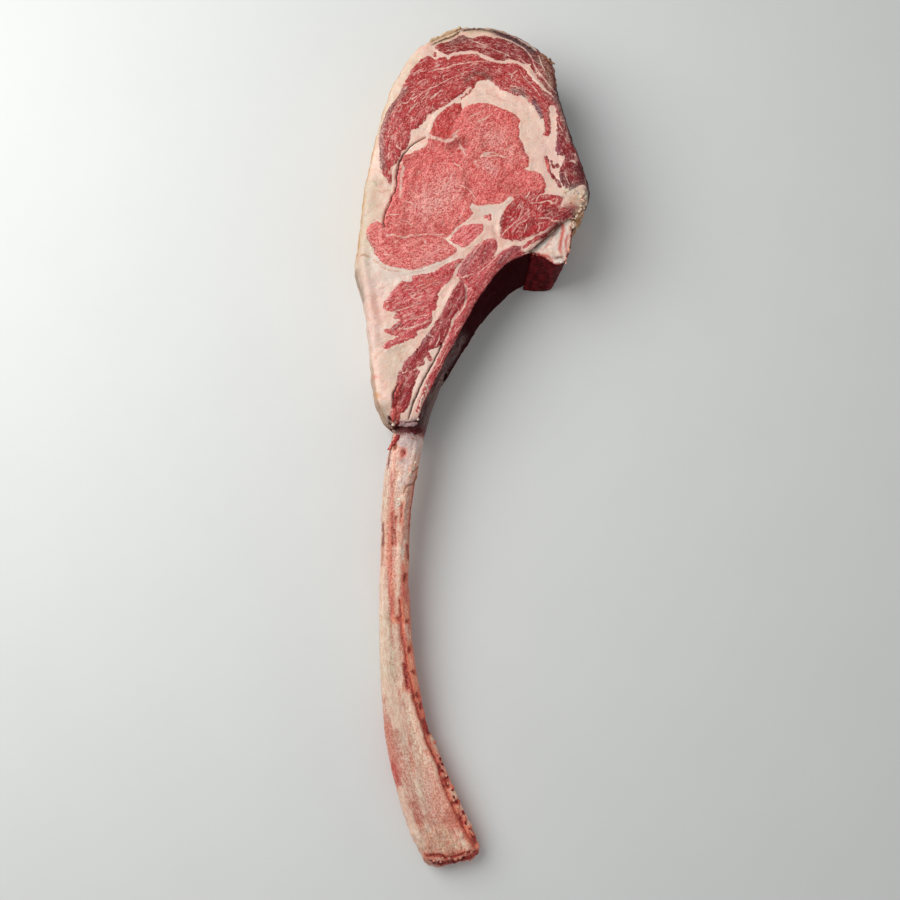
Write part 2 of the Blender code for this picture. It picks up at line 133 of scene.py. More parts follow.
# Where the lean of each muscle shows on the upper cut.
LEAN_AREAS = {
    "eye_muscle": [
        (-5.6, 212.7), (-3.1, 215), (0.7, 216.3), (5.6, 216.8), (10.6, 216.5), (13.1, 216),
        (16.8, 214), (20.6, 212.7), (23, 211.8), (26.1, 210.1), (28.6, 208.5), (30.1, 206.5),
        (30.5, 204.6), (29.5, 202.7), (30.1, 200.1), (30.5, 196.2), (29.5, 194.3), (31.6, 191.7),
        (32.8, 189.1), (33.4, 185.9), (34.6, 182.6), (36.5, 180.8), (37.1, 177.5), (36.4, 174.7),
        (33.2, 172.7), (36.4, 171.2), (40.6, 171.1), (43.8, 169.2), (46, 165.2), (47.3, 160.5),
        (45.9, 158.5), (36.6, 156.8), (31.6, 154.5), (26.7, 153.2), (23.3, 155.2), (21.8, 152.4),
        (19.3, 150.5), (16.2, 149.8), (11.3, 149.2), (6.4, 148.4), (2.7, 148.4), (-0.4, 150.5),
        (-2.2, 146.7), (0.2, 142.9), (-2.3, 139.7), (-5.3, 137.2), (-9.7, 134.6), (-12.7, 130.8),
        (-16.2, 127.6), (-22, 126.5), (-33.5, 126.9), (-43.1, 126.6), (-49.5, 126), (-54.9, 127),
        (-55.8, 131), (-57, 134.1), (-56.9, 141.1), (-54.7, 147.3), (-52, 154.2), (-49.9, 157.7),
        (-49.5, 160.2), (-49.2, 164.1), (-48.3, 171.2), (-47.5, 175), (-45.6, 179.5),
        (-43.1, 181.9), (-40, 182.7), (-36.3, 184.6), (-32, 185.6), (-28.9, 188.5),
        (-27.9, 192.7), (-23.3, 192.1), (-18.2, 193.4), (-14.3, 198.8), (-13, 203.2),
        (-9.7, 207), (-7.1, 210),
    ],
    "upper_oval_muscle": [
        (-7.8, 217.1), (-7.1, 212.4), (-9.1, 208.3), (-10.7, 204.9), (-10.7, 200.2),
        (-10.1, 196.1), (-12.3, 192.1), (-16.9, 191.1), (-22.1, 192.1), (-26.9, 194.1),
        (-27.2, 196.1), (-26.5, 198.8), (-24.7, 202.2), (-24.2, 205.3), (-22.5, 208),
        (-19.5, 211.2), (-15.1, 214.4), (-11.2, 216.7),
    ],
    "lower_eye_muscle": [
        (-67.6, 128.9), (-67.5, 132.6), (-65.6, 135.4), (-62, 137.3), (-58.9, 136.7),
        (-57, 134.6), (-56.2, 130.6), (-54.9, 126.6), (-49.5, 126.2), (-43.1, 126.9),
        (-33.5, 127.2), (-22, 126.8), (-16.8, 125), (-13.1, 121.3), (-10.7, 119.8),
        (-10.2, 117.8), (-12.2, 116.3), (-17.1, 113.3), (-22.9, 110.8), (-29.3, 108.3),
        (-34.2, 107.3), (-39.6, 106.3), (-45, 106.8), (-50.9, 107.8), (-55.7, 109.8),
        (-59.6, 112.8), (-62.6, 116.8), (-63.6, 120.3), (-66.1, 124.3), (-67.1, 126.8),
    ],
    "cap_muscle": [
        (-52.8, 161.5), (-54.2, 166), (-57.3, 169.8), (-59.2, 173.7), (-59.5, 179.5),
        (-60.2, 185.9), (-60.9, 192.3), (-60.6, 198.8), (-59.8, 202.2), (-57.7, 208),
        (-55.2, 212.5), (-51.7, 216.7), (-48.2, 220.7), (-46.1, 224.4), (-44.8, 228),
        (-42.6, 232.6), (-40, 237.2), (-38.2, 240.9), (-36.1, 243.6), (-32.6, 246.4),
        (-30.4, 248.2), (-28.2, 249.1), (-26, 247.4), (-23, 246.4), (-21.7, 247.8),
        (-18.1, 248.9), (-15.9, 246.5), (-14.3, 248), (-8, 249.4), (-1.8, 250.2), (2.7, 249.5),
        (7.3, 247.2), (10.8, 245.8), (13.2, 244.7), (17, 244.2), (21.3, 243.5), (27, 244.2),
        (30.7, 243.2), (33.2, 241.4), (35.1, 238.8), (37.5, 235.6), (40, 231.7), (43.1, 229),
        (45.6, 226.4), (48.3, 224.6), (51.5, 221.9), (54.7, 218.5), (55.5, 216.5), (52.9, 215.6),
        (50.4, 215.1), (50.4, 212.4), (49.8, 208.5), (51, 205.3), (50.9, 200.7), (49.7, 196.2),
        (47.8, 194.9), (46.2, 196.2), (47.8, 198.2), (48.2, 202), (47, 204.6), (47.2, 207.2),
        (44.8, 206.8), (42.9, 211.1), (40.5, 216.3), (38.6, 216.3), (36.8, 218.3), (35.6, 220.9),
        (33.1, 222.5), (29.3, 222.2), (26.2, 223.8), (23.1, 224.8), (19.4, 225.8), (17.5, 228),
        (15.6, 229.4), (13.2, 232), (10.7, 233.3), (6.9, 233.3), (3.9, 232), (1.6, 230),
        (0.7, 227.7), (-1.8, 228.7), (-3.7, 227.7), (-5.5, 225), (-8, 222.6), (-10.6, 220.5),
        (-14.3, 218.2), (-17.7, 215.7), (-21.6, 213.9), (-25.5, 211.2), (-29, 209.4),
        (-30.7, 205.3), (-34.2, 202.2), (-35.7, 198.8), (-39.5, 195), (-40.7, 193), (-41, 189.8),
        (-43.2, 186.5), (-45.6, 184.7), (-46.8, 182), (-48.1, 178.8), (-49.6, 175.6),
        (-51.1, 174.9), (-52.4, 171.2), (-53, 168.5), (-51.7, 167.9), (-52, 163.9),
    ],
    "top_muscle": [
        (-7.7, 262.6), (-11.6, 260.7), (-15.1, 258.8), (-19.5, 257.9), (-22.5, 256.5),
        (-24.3, 255.1), (-21.2, 253.3), (-18.6, 251.5), (-16, 250.5), (-12.9, 251.8), (-8, 253),
        (-1.8, 253.6), (3.3, 253), (7.6, 251.3), (12, 248.4), (17, 246.8), (20.8, 246.8),
        (24.3, 247.6), (29.5, 246.5), (34.1, 244.8), (38, 244.5), (38, 248.4), (36.4, 251),
        (33.3, 253.6), (29.6, 255.6), (25.8, 258.2), (22.1, 260.2), (17, 261.5), (13.3, 260.9),
        (10.8, 262.2), (7, 263.2), (3.3, 262.2), (0.1, 260.9), (-3, 261.5), (-6.1, 263.2),
    ],
    "edge_muscle": [
        (38, 245.8), (40.9, 241), (44.4, 233.8), (47.6, 228.7), (51.5, 224.3), (54.7, 220.5),
        (55.5, 216.3), (56, 211.8), (55.4, 208.5), (54.7, 203.4), (55.9, 200.1), (54.6, 196.9),
        (54.2, 192.3), (55.2, 189.1), (53.9, 185.9), (55.1, 182.6), (58.2, 181.3), (60.8, 182),
        (60.1, 178.6), (57.5, 173.9), (56.5, 171.2), (56.5, 168.6), (56.9, 165.5), (58.3, 163),
        (60.3, 159.9), (62.3, 158.4), (66.7, 159.9), (68.7, 161.5), (71.2, 162.5), (77.3, 161.2),
        (79.3, 166.5), (76.2, 175.2), (72.5, 185.3), (67.4, 196.1), (63.7, 209), (60.6, 220.5),
        (55.5, 230.1), (54.3, 239.7), (49.8, 247.9), (43.3, 253.4), (38.7, 252),
    ],
    "inner_muscle": [
        (18.6, 139.7), (20.5, 143.5), (22.4, 146.7), (24.8, 149.2), (26.9, 152.2), (26.7, 153.7),
        (31.6, 155), (36.6, 157.5), (41, 158.8), (45.9, 159.4), (46.5, 156.9), (44.6, 154.6),
        (48.9, 155.3), (55.1, 154.6), (58.7, 153.4), (56.8, 150.5), (56.2, 148), (58.1, 146.1),
        (61.7, 145.4), (65.4, 146.1), (64.1, 140.9), (59.2, 138.4), (53, 135.6), (46.8, 132.1),
        (40.7, 129), (34.5, 127), (30.9, 125.1), (26.6, 124.9), (22.3, 125.8), (18.6, 127),
        (18, 130.2), (19.2, 132.7), (18, 136.6),
    ],
    "small_muscle": [
        (-14, 125.1), (-11.5, 129), (-8.4, 132.7), (-4.7, 134.6), (0.8, 135.6), (6.3, 135.9),
        (7.5, 134), (6.3, 130.8), (3.2, 127.7), (-0.4, 124.5), (-3.5, 121.4), (-6.6, 120.4),
        (-10.2, 122.6),
    ],
    "flank_muscle": [
        (-38.1, 101.9), (-36.6, 102.4), (-29.3, 102.8), (-24.4, 104.3), (-19.5, 107.3),
        (-14.6, 109.8), (-9.7, 111.8), (-6.3, 112.8), (-7.8, 110.3), (-10.2, 107.8),
        (-12.2, 104.9), (-12.7, 101.9), (-15.1, 98.4), (-18, 96), (-20.5, 93), (-22.4, 89.6),
        (-22.9, 85.6), (-23.4, 81.7), (-25.8, 79.3), (-26.3, 76.9), (-25.4, 74.9), (-26.8, 72),
        (-28.8, 69), (-32.6, 68.1), (-36.1, 66.1), (-35.6, 64.2), (-37.6, 62.2), (-41, 61.2),
        (-44.9, 59.3), (-48.8, 58.3), (-52.7, 56.3), (-55.6, 54.9), (-56.5, 56.3), (-55.6, 58.3),
        (-52.2, 60.3), (-48.8, 61.8), (-45.8, 62.7), (-46.8, 63.7), (-51.7, 64.6), (-55.6, 66.1),
        (-56.6, 67.4), (-53.2, 67.6), (-50.8, 69.5), (-46.8, 72), (-43.9, 73.4), (-46.8, 74.4),
        (-50.3, 74.9), (-48.8, 76.9), (-46.4, 78.3), (-48.8, 78.8), (-51.2, 78.6), (-54.7, 79.8),
        (-57.1, 80.8), (-57.1, 84.2), (-54.7, 86.7), (-53.7, 88.1), (-50.8, 92), (-47.9, 95.4),
        (-44.9, 97.9), (-41, 97.4), (-38.1, 97.9),
    ],
    "rib_strip_muscle": [
        (-7.8, 99.4), (-11.2, 93), (-14.1, 88.1), (-17.5, 82.2), (-19.5, 77.3), (-22.9, 73.4),
        (-25.4, 68.6), (-29.3, 63.7), (-31.7, 60.3), (-33.1, 57), (-37.6, 52), (-41.6, 48),
        (-43.4, 46.2), (-44.3, 42.1), (-46.5, 40.3), (-47.8, 35.9), (-48.7, 30), (-50, 26.8),
        (-50, 22.3), (-50.4, 18.3), (-52.6, 11.1), (-50.4, 9.3), (-49, 4.3), (-46.6, 7),
        (-45.9, 13.8), (-43.3, 17), (-41.1, 22.3), (-39.3, 27.7), (-38, 32.3), (-36.2, 36.8),
        (-35.4, 39.9), (-37.8, 41.2), (-39.8, 40.7), (-36.3, 43.5), (-32.8, 46.2), (-29.5, 51.5),
        (-28.2, 54.2), (-25.5, 55.6), (-22.4, 56.5), (-20.1, 58.3), (-19.3, 60.5), (-19.5, 54.5),
        (-17.1, 61.8), (-14.1, 67.6), (-13.1, 74.9), (-10.7, 77.8), (-7.8, 81.7), (-4.8, 84.7),
        (-3.9, 89.6), (-3.4, 94.5), (-6.3, 97.4),
    ],
    "intercostal_muscle": [
        (-9.7, 102), (-8.5, 106.3), (-6, 110.7), (-2.3, 115.7), (2, 120.7), (6.3, 123.9),
        (10, 125.8), (13.7, 126.4), (15.5, 123.9), (15.4, 119.4), (13.6, 115.7), (11.8, 111.9),
        (16.1, 115.1), (21, 118.9), (25.9, 121.4), (30.8, 121.4), (31.4, 118.9), (33.1, 117.4),
        (28, 113.8), (24.6, 111.2), (21, 108.3), (16, 103.1), (12.4, 98.6), (8.7, 93.4),
        (5.6, 88.6), (1, 81.3), (-4.1, 73), (-8.5, 62.8), (-12.7, 54.5), (-16.8, 44.2),
        (-20.6, 34.6), (-24.4, 23.7), (-27, 14.7), (-28.9, 7), (-31.4, 8.3), (-30.5, 19.2),
        (-28.3, 28.9), (-24.5, 40.4), (-20, 53.2), (-15.6, 64), (-11.1, 73.6), (-6.6, 82.6),
        (-3.1, 89), (-2.5, 94.1), (-5.3, 97.3), (-7.2, 99.9),
    ],
}


# Veins and seams of fat in the lean: half width, and the points along each.
VEINS = [
    # the cap
    (0.5, [(-25.7, 238.8), (-20.8, 240.4), (-15.9, 241), (-11, 242.8), (-6.1, 243.9), (2.1, 245.2),
        (10.2, 245.6)]),
    (0.35, [(-20.8, 230.1), (-14.3, 233.5), (-9.1, 235.6), (-3.8, 238.3)]),
    (0.35, [(-39, 219.2), (-33.8, 223.9), (-27.3, 227.4), (-22.1, 228.7)]),
    (0.35, [(31.4, 239.7), (34, 234.2), (39.8, 228.7), (44.3, 222.6)]),
    # the eye
    (0.7, [(3.7, 204.6), (6.8, 205.9), (10.6, 207.9), (13.1, 209.8)]),
    (0.45, [(-1.8, 207.6), (1.9, 209.5), (5.6, 210.8)]),
    (0.5, [(5.5, 180.8), (9.2, 183.3), (13, 183.7), (16.7, 182.2), (19.8, 180.8), (22.5, 180.8)]),
    (0.9, [(-9, 197.8), (-11.8, 195.6), (-10.6, 193.3)]),
    (0.5, [(-7.8, 189.5), (-6.8, 186.9), (-4.7, 185.6)]),
    (1.5, [(-27.7, 195.9), (-24, 193.7), (-20.2, 192.4), (-15.3, 191.2), (-11.6, 192.9),
        (-10, 194.3)]),
    (0.5, [(-8.5, 189.1), (-7.2, 186.6), (-6, 184), (-4.1, 181.9)]),
    (0.4, [(-10.3, 186.2), (-7.2, 186.6)]),
    (0.5, [(-14, 166), (-13.1, 168.9), (-11.6, 170.5)]),
    (0.6, [(-11.3, 176.1), (-8.5, 175), (-6.5, 172.4)]),
    (0.45, [(-7.3, 161.5), (-4.2, 160.3), (-1.7, 157.7), (0.7, 154.8), (2, 152.6)]),
    (0.5, [(5.1, 180.1), (8.2, 181.3), (11.3, 182.7), (14.4, 183.7)]),
    (0.5, [(7, 180.6), (13.8, 181), (17.5, 181.5), (19.7, 180.4), (21.5, 180)]),
    (0.6, [(1.4, 176.6), (3, 177.9)]),
    (0.6, [(9.1, 173.1), (10.7, 173.1)]),
    (0.45, [(-42.4, 150.7), (-39.3, 149.7), (-36.2, 148.1)]),
    (0.4, [(-55.9, 141.1), (-52.2, 142.1), (-47.9, 142.4)]),
    (0.4, [(-41.7, 137.3), (-39.8, 135.7), (-38, 134.8)]),
    (0.45, [(-8.5, 139.2), (-7, 142.4), (-5.1, 145.6)]),
    (0.4, [(-21.4, 143.7), (-19, 144.3)]),
    (1.3, [(-45.6, 176.9), (-44.6, 173.1), (-45.5, 168.6), (-46.1, 162.8), (-46.1, 157.7),
        (-46.2, 153.9)]),
    # under the eye
    (0.8, [(-54.5, 128.2), (-50.9, 128.8), (-47.8, 127.8), (-44.1, 127.2), (-39.2, 128.5),
        (-33.7, 128.5), (-28.8, 129.1), (-22.6, 129.1), (-18.3, 128.5)]),
    (0.7, [(-30.6, 124.7), (-29.7, 123.7)]),
    (0.4, [(-55.7, 115.9), (-53.2, 115.2), (-51.4, 115.9)]),
    # beside the chine
    (0.6, [(37.8, 149.6), (41.5, 149.9), (44.6, 150.2), (47.6, 151.5), (50.1, 151.1),
        (51.3, 149.6)]),
    (0.5, [(19.2, 128.3), (22.3, 132.1), (26, 135.3), (29.1, 138.4), (30.3, 141), (31.6, 144.8)]),
    (0.4, [(26.6, 131.5), (30.3, 136.5), (34.6, 138.4), (37.1, 141)]),
    (0.6, [(43.2, 139.1), (46.3, 139.7), (49.4, 139.4), (51.8, 137.2), (55.2, 137.8)]),
    (0.6, [(35, 153.7), (36.3, 155.6), (36.9, 156.9)]),
    (0.45, [(41.5, 152.4), (43.4, 155), (47.1, 156.2)]),
    (0.4, [(33.3, 130.8), (34.6, 133.4), (34.9, 135.3)]),
    (0.4, [(50.1, 148.6), (53.2, 149.9), (55, 152.4)]),
    (0.9, [(27.1, 125), (32, 123.7), (34.5, 125.8), (38.2, 127.7), (43.1, 128.9), (45.3, 130.3)]),
    (0.3, [(47.1, 131.8), (50.5, 134)]),
    (0.7, [(32, 123.9), (31.4, 120.7), (32, 118.2)]),
    (0.6, [(34.4, 118.1), (40.6, 123.1), (43.7, 125.8)]),
    # over the rib's head
    (0.45, [(5.6, 105.1), (11.1, 109.5), (14.2, 112.6), (16.1, 115.1)]),
    (0.6, [(-9.7, 101.4), (-6, 101.1), (-2.9, 102), (-0.5, 103)]),
    (0.35, [(24.6, 111.3), (20.9, 108.8), (16, 103.3), (12.3, 98.9), (8.7, 94), (5.6, 87.9)]),
    # the cap's branches
    (0.45, [(22.6, 236.6), (26.3, 236.4), (28.2, 238.2), (29.4, 239.2)]),
    (0.35, [(25.7, 233.3), (26.3, 236.4)]),
    (0.4, [(25.6, 228.1), (28.7, 228.4), (30.6, 226.8)]),
    (0.4, [(-23.4, 239.5), (-19.5, 239.7), (-15.5, 241.6), (-11.6, 243.6)]),
    (0.5, [(-32.1, 219.4), (-29, 224), (-26.9, 227.6)]),
    (0.4, [(-23.8, 229), (-22.7, 230.8)]),
    (0.6, [(-27.3, 219.8), (-23.8, 223), (-21.2, 224.9), (-19, 225.3)]),
    (0.45, [(-48.2, 214.8), (-45.6, 217.1), (-42.5, 217.1), (-39.9, 220.3)]),
    (0.4, [(-41.2, 210.7), (-38.6, 213.9), (-35.6, 217.6)]),
    (0.35, [(-35.2, 230.8), (-32.6, 232.6), (-29.9, 233.1)]),
    (0.4, [(-50.8, 207.6), (-49.5, 211.7)]),
    (0.8, [(-48.1, 187.8), (-46.9, 186.6)]),
    (0.5, [(-54.9, 181.1), (-53.4, 183.3)]),
    (0.8, [(-53.3, 169.8), (-51.7, 173.1), (-49.9, 175.3)]),
    # between the cap and the rim
    (1.3, [(-14.3, 249.7), (-8, 251.3), (-1.8, 252.2), (3.2, 251.5), (8.2, 249), (13.2, 246.4),
        (18.9, 245.1), (24.5, 245.6), (29.5, 245.1), (33.2, 243.6), (36.9, 239.8), (40.7, 235.3),
        (43.7, 230.7), (46.8, 226.8)]),
    (0.45, [(-1.7, 260.2), (3.3, 258.6), (7.6, 256.9), (12.6, 254.6), (17.6, 252.3), (20.8, 251),
        (24.5, 249)]),
    (0.5, [(0.8, 262.7), (6.4, 264.2), (11.4, 262.2), (17.1, 262.9), (23.3, 260.9), (28.3, 258.3),
        (32.1, 255.6), (35.8, 252.3), (38.9, 249), (40.1, 245.1), (41.9, 238.5), (45.6, 234.6)]),
    (0.5, [(40.7, 243.1), (43.8, 238.5), (47.5, 233.3), (51.8, 228.1), (54.9, 224.2)]),
    (0.5, [(43.9, 249), (45.1, 244.4), (47.6, 239.8)]),
    # the outer edge
    (0.8, [(63.5, 177.6), (65.2, 177.8), (66.4, 176.3)]),
    (0.4, [(59.9, 169.6), (60.9, 166.5), (62.3, 162.2)]),
    (0.35, [(58, 170.1), (60.9, 170.4), (63.4, 169.6)]),
    (0.5, [(57.9, 205.2), (59.4, 205.4), (60.6, 206.2)]),
    (0.45, [(58.3, 198.4), (56.8, 201.6), (55.9, 204.1)]),
    (0.5, [(66.5, 181.7), (66.8, 181.4)]),
    # the flank
    (0.5, [(-40.3, 90.4), (-38.1, 88.1), (-35.9, 87.1), (-33.9, 87.8), (-31.7, 89)]),
    (0.45, [(-51.7, 78.2), (-46.4, 80.3), (-41, 81.7), (-37.1, 83.1)]),
    (0.45, [(-39, 73.8), (-35.6, 75.9), (-31.2, 76.4), (-29.3, 76.8)]),
    (0.7, [(-46.8, 68.1), (-41.9, 68), (-36.1, 69.5), (-31.2, 71.4), (-26.3, 73.4), (-25.3, 75.9)]),
    (0.35, [(-38.1, 89.6), (-29.3, 95), (-24.4, 97.4)]),
    # the strip over the rib
    (0.9, [(-4.3, 95.5), (-3.4, 92), (-4.3, 87.1), (-5.3, 82.2), (-8.3, 77.8), (-12.2, 73.4),
        (-14.1, 66.6), (-17.5, 60.2), (-19.5, 54.5)]),
    (0.45, [(-45.2, 41.7), (-44.3, 39.8), (-42.5, 39.8), (-41.7, 42.1)]),
    (0.75, [(-18.6, 57.2), (-21, 51.8), (-25.3, 42.8), (-28.9, 36.5), (-32.4, 29.3), (-35.1, 23.9),
        (-36.8, 18.5), (-37.7, 14.2), (-37, 10.6)]),
    (0.5, [(-15.2, 56.9), (-16.6, 53.4), (-18.8, 49.3), (-20.6, 45.3)]),
    (0.7, [(-27.7, 32.3), (-28.6, 28.7), (-29.5, 25), (-30.8, 21), (-31.7, 16.9), (-33, 12.4),
        (-33.9, 9.3)]),
    (0.45, [(-20.6, 65), (-21.5, 60.5), (-23.3, 56.9)]),
    (0.8, [(-28, 63.9), (-26.2, 63.2)]),
]

# Slits, in the same way; the finish paints them dark, as dark meat and painted shade in the narrow
# cuts.
SLITS = [
    # beside the eye
    (0.33, [(-30.5, 194), (-33.3, 192.7), (-35.7, 191.4), (-38.8, 189.1), (-41.3, 186.6),
        (-43.1, 184.3), (-45, 181.4), (-46.5, 178.8), (-47.7, 175), (-48.3, 171.1), (-48.9, 167.9),
        (-49.3, 164.1), (-49.5, 160.3), (-49.9, 157.7), (-51.9, 154.5), (-52.8, 151.3),
        (-54.7, 147.5), (-56.2, 144.3), (-57.1, 141.1), (-57.2, 137.3), (-56.4, 134.2)]),
    # over the rib
    (0.5, [(-19.3, 58.1), (-20.6, 54.7), (-22.4, 50.7), (-24.2, 47.1), (-26.9, 42.6), (-28.6, 39),
        (-30.9, 35), (-33.1, 30.5), (-34.9, 26.4), (-37.1, 22.3), (-38.4, 18.7), (-39.3, 14.7),
        (-40.4, 10.6)]),
    # left of the strip
    (0.4, [(-47.4, 32.7), (-48.7, 30), (-50.3, 27.3), (-50.5, 24.1), (-50.2, 21.4), (-50.4, 18.3)]),
    # beside the chine
    (0.5, [(33.2, 115.7), (38.1, 119.5), (43.7, 123.9), (48, 127.7), (52.4, 132.1), (57.3, 136.5)]),
    # the hole at the tip
    (0.9, [(-53.3, 11.1), (-51.7, 9.3), (-51, 8.8)]),
]

# Lean in the fat, and then fat in the lean.
RED_ISLANDS = [
    # under the outer seam
    (0.9, [(-14.3, 247.1), (-10.5, 248.7), (-6.8, 249.2)]),
    (1.6, [(-4.9, 247.7), (-0.5, 248.7), (3.9, 248.9)]),
    (1.4, [(18.2, 248.4), (21.4, 248.7)]),
    # the hook of lean at the outer edge and the slivers by it
    (1.9, [(49.1, 206.6), (49.1, 202.7), (49.3, 198.8)]),
    (0.8, [(46.5, 196.2), (49, 195.3), (50.9, 197.5)]),
    (1.0, [(47.7, 180.4), (48.6, 176.8), (49.6, 171.7), (52.5, 167), (54.9, 164), (56.9, 161.2)]),
    (0.9, [(51.1, 177.8), (52.3, 174)]),
    (1.1, [(55.1, 175.2), (55.2, 174.6)]),
    # in the fat beside the eye
    (1.1, [(9, 140.8), (11.5, 141.5), (11.2, 139.6)]),
    # beside the chine
    (1.2, [(32.6, 120.7), (38.2, 124.5), (42.5, 127.2), (47.4, 128.9)]),
    # over the rib
    (1.9, [(-35.3, 40.3), (-37.6, 35.9), (-39.3, 31.4), (-40.7, 25.9), (-42, 20.5), (-44.2, 16.5)]),
    (1.9, [(-34, 45.7), (-32.2, 46.4)]),
    (1.2, [(-28.2, 51.1), (-26.9, 48.4)]),
    (1.1, [(-15.7, 56.5), (-19.3, 49.3), (-23.7, 42.1), (-27.3, 35.9), (-29.5, 31.4),
        (-31.3, 25.9), (-33.1, 20.1), (-34.8, 15.6)]),
    # the head and the outer edge
    (1.4, [(-28.7, 248.2), (-28.2, 247.1)]),
    (1.1, [(-24.3, 251), (-24.1, 249.6)]),
    (0.9, [(38.8, 243.1), (41.9, 236.6), (46.8, 230.7)]),
    (0.9, [(42, 245.1), (45.7, 237.2), (50.6, 229.4), (54.3, 224.2)]),
    (1.6, [(54.5, 214.5), (55, 211.4)]),
    (2.0, [(56.9, 209.9), (57.9, 206.7)]),
    (1.2, [(20.8, 264.9), (25.8, 262.9), (30.8, 259.6)]),
    # left of the kernel fat
    (0.5, [(0.7, 228.7), (-1.8, 224.2), (-7.4, 220.2)]),
    # the flank
    (0.6, [(-21.9, 88.6), (-23.9, 84.2), (-24.4, 80.3)]),
]
FAT_ISLANDS = [
    # inside the cap
    (3.2, [(-37, 196.2), (-34.5, 196.9), (-31.4, 197.5)]),
    (1.8, [(-33.9, 193.7), (-37, 189.1), (-39.4, 186.6)]),
    # by the hook
    (2.0, [(52.3, 213.7), (52.8, 207.9), (53.1, 200.8), (53, 192.4)]),
]

# On the bare rib: blood in its grooves, raw meat, pale ridges, tendon and slits.
BONE_BLOOD = [
    # the groove, the right edge and their clots
    (0.5, [(-46.3, -103.9), (-45.2, -112.7), (-45, -122), (-44.2, -128.3)]),
    (0.7, [(-44.2, -128.3), (-42.8, -134.5), (-41.9, -142.6), (-40, -151.9), (-38.1, -159.4),
        (-36.8, -166.7)]),
    (1.2, [(-43.1, -144.5), (-42.6, -150.1), (-41.6, -155), (-40.9, -159.4)]),
    (0.8, [(-46.9, -114.9), (-46.4, -116.4)]),
    (0.7, [(-41, -68.9), (-40, -73.3), (-40.2, -77.1)]),
    (0.9, [(-42.2, -87.7), (-42.7, -91.4)]),
    (0.9, [(-39.4, -133.9), (-39.9, -136)]),
    (0.8, [(-37.7, -148.5), (-36.7, -149.8)]),
    (0.9, [(-35, -163.1), (-34.2, -164.7)]),
    (0.7, [(-41.3, -117), (-41.5, -118)]),
    (0.8, [(-38.2, -160.4), (-35.3, -169.8), (-33.1, -177.7), (-30.9, -184.9)]),
    (1.8, [(-29.8, -179.9), (-28.9, -183.5), (-26.9, -187.1)]),
    (0.6, [(-30.5, -185.6), (-28.5, -192.1), (-25.4, -199.3), (-22.2, -206.4)]),
    (1.0, [(-21.9, -207.1), (-20.5, -210.7), (-20.2, -213.6)]),
    (0.55, [(-20.2, -213.6), (-16.8, -222.8), (-14.5, -229.2), (-10.9, -236.3), (-6.6, -244.8),
        (-2.2, -252.6), (1.2, -258.6)]),
    (1.2, [(-17.6, -216.1), (-16.3, -218.6), (-15.2, -221.4)]),
    (1.5, [(-11.6, -230.6), (-10, -231)]),
    (1.1, [(-7.4, -238.1), (-6.6, -241.3), (-6, -243.4)]),
    (1.2, [(-0.2, -248.3), (0.8, -252.6), (2.5, -256.1)]),
    (0.8, [(-34.3, -164), (-33.8, -165.1)]),
    (0.9, [(-32.4, -169.8), (-31.9, -172.3)]),
    # the sawn end
    (1.1, [(-29.7, -263.8), (-21, -263.2), (-15.2, -266.1), (-9.5, -263.9), (-3.7, -262.5),
        (3.6, -262.1)]),
    (1.9, [(-21, -269.7), (-10.9, -269), (-3.7, -266.8), (3.9, -264.3)]),
    # the upper half
    (1.0, [(-50.1, -4.4), (-49.6, -7.3)]),
    (0.4, [(-51.1, -48.7), (-50.6, -56), (-50.9, -63.2), (-51.3, -68.9)]),
    (0.4, [(-49.2, -51.1), (-49.6, -58.4), (-48.9, -65.6), (-49.4, -68.9)]),
    (0.5, [(-34.8, -22), (-36.5, -30.7), (-38, -39), (-38.9, -46.3), (-39.8, -56), (-39.4, -68.9)]),
    (0.3, [(-45, -42.9), (-45.5, -48.7), (-45.7, -54)]),
    (0.7, [(-44.6, -9.3), (-43.4, -8.8), (-42.9, -10.5), (-44.3, -11.5)]),
]
BONE_RAW = [
    # the left streak
    (1.0, [(-49.2, -9.3), (-49.6, -20), (-49.2, -26.4)]),
    (1.1, [(-49.7, -26.8), (-50.6, -35.6), (-52.1, -43.8), (-53.1, -51.1)]),
    (1.5, [(-52.7, -51.1), (-52.3, -60.8), (-52.5, -68.9)]),
    (1.8, [(-53.3, -68.9), (-52.9, -78.3), (-52.6, -87.7)]),
    (1.8, [(-51.7, -87.7), (-51.4, -98.9), (-51, -108.9), (-50.1, -116.4)]),
    # the middle
    (1.2, [(-44.3, -53.5), (-44.8, -60.8), (-44.3, -68.9)]),
    # the right band
    (3.2, [(-43.5, -81.4), (-43.5, -93.9), (-43.2, -106.4)]),
    (3.0, [(-42.9, -106.4), (-42.2, -118.9), (-40.9, -128.9)]),
    (3.0, [(-40.3, -128.9), (-38.7, -140.7), (-36.8, -153.2), (-34.3, -166.7)]),
    (3.4, [(-33.1, -163.3), (-30.6, -172.7), (-26.2, -186.4), (-22.5, -199.3)]),
    (3.6, [(-22.5, -199.3), (-16.7, -213.6), (-12.3, -225)]),
    (4.2, [(-11.6, -225), (-6.5, -235.6), (-0, -249.7), (2.8, -256.8)]),
    # below the meat
    (2.0, [(-50.2, -2.4), (-48.8, 0)]),
]
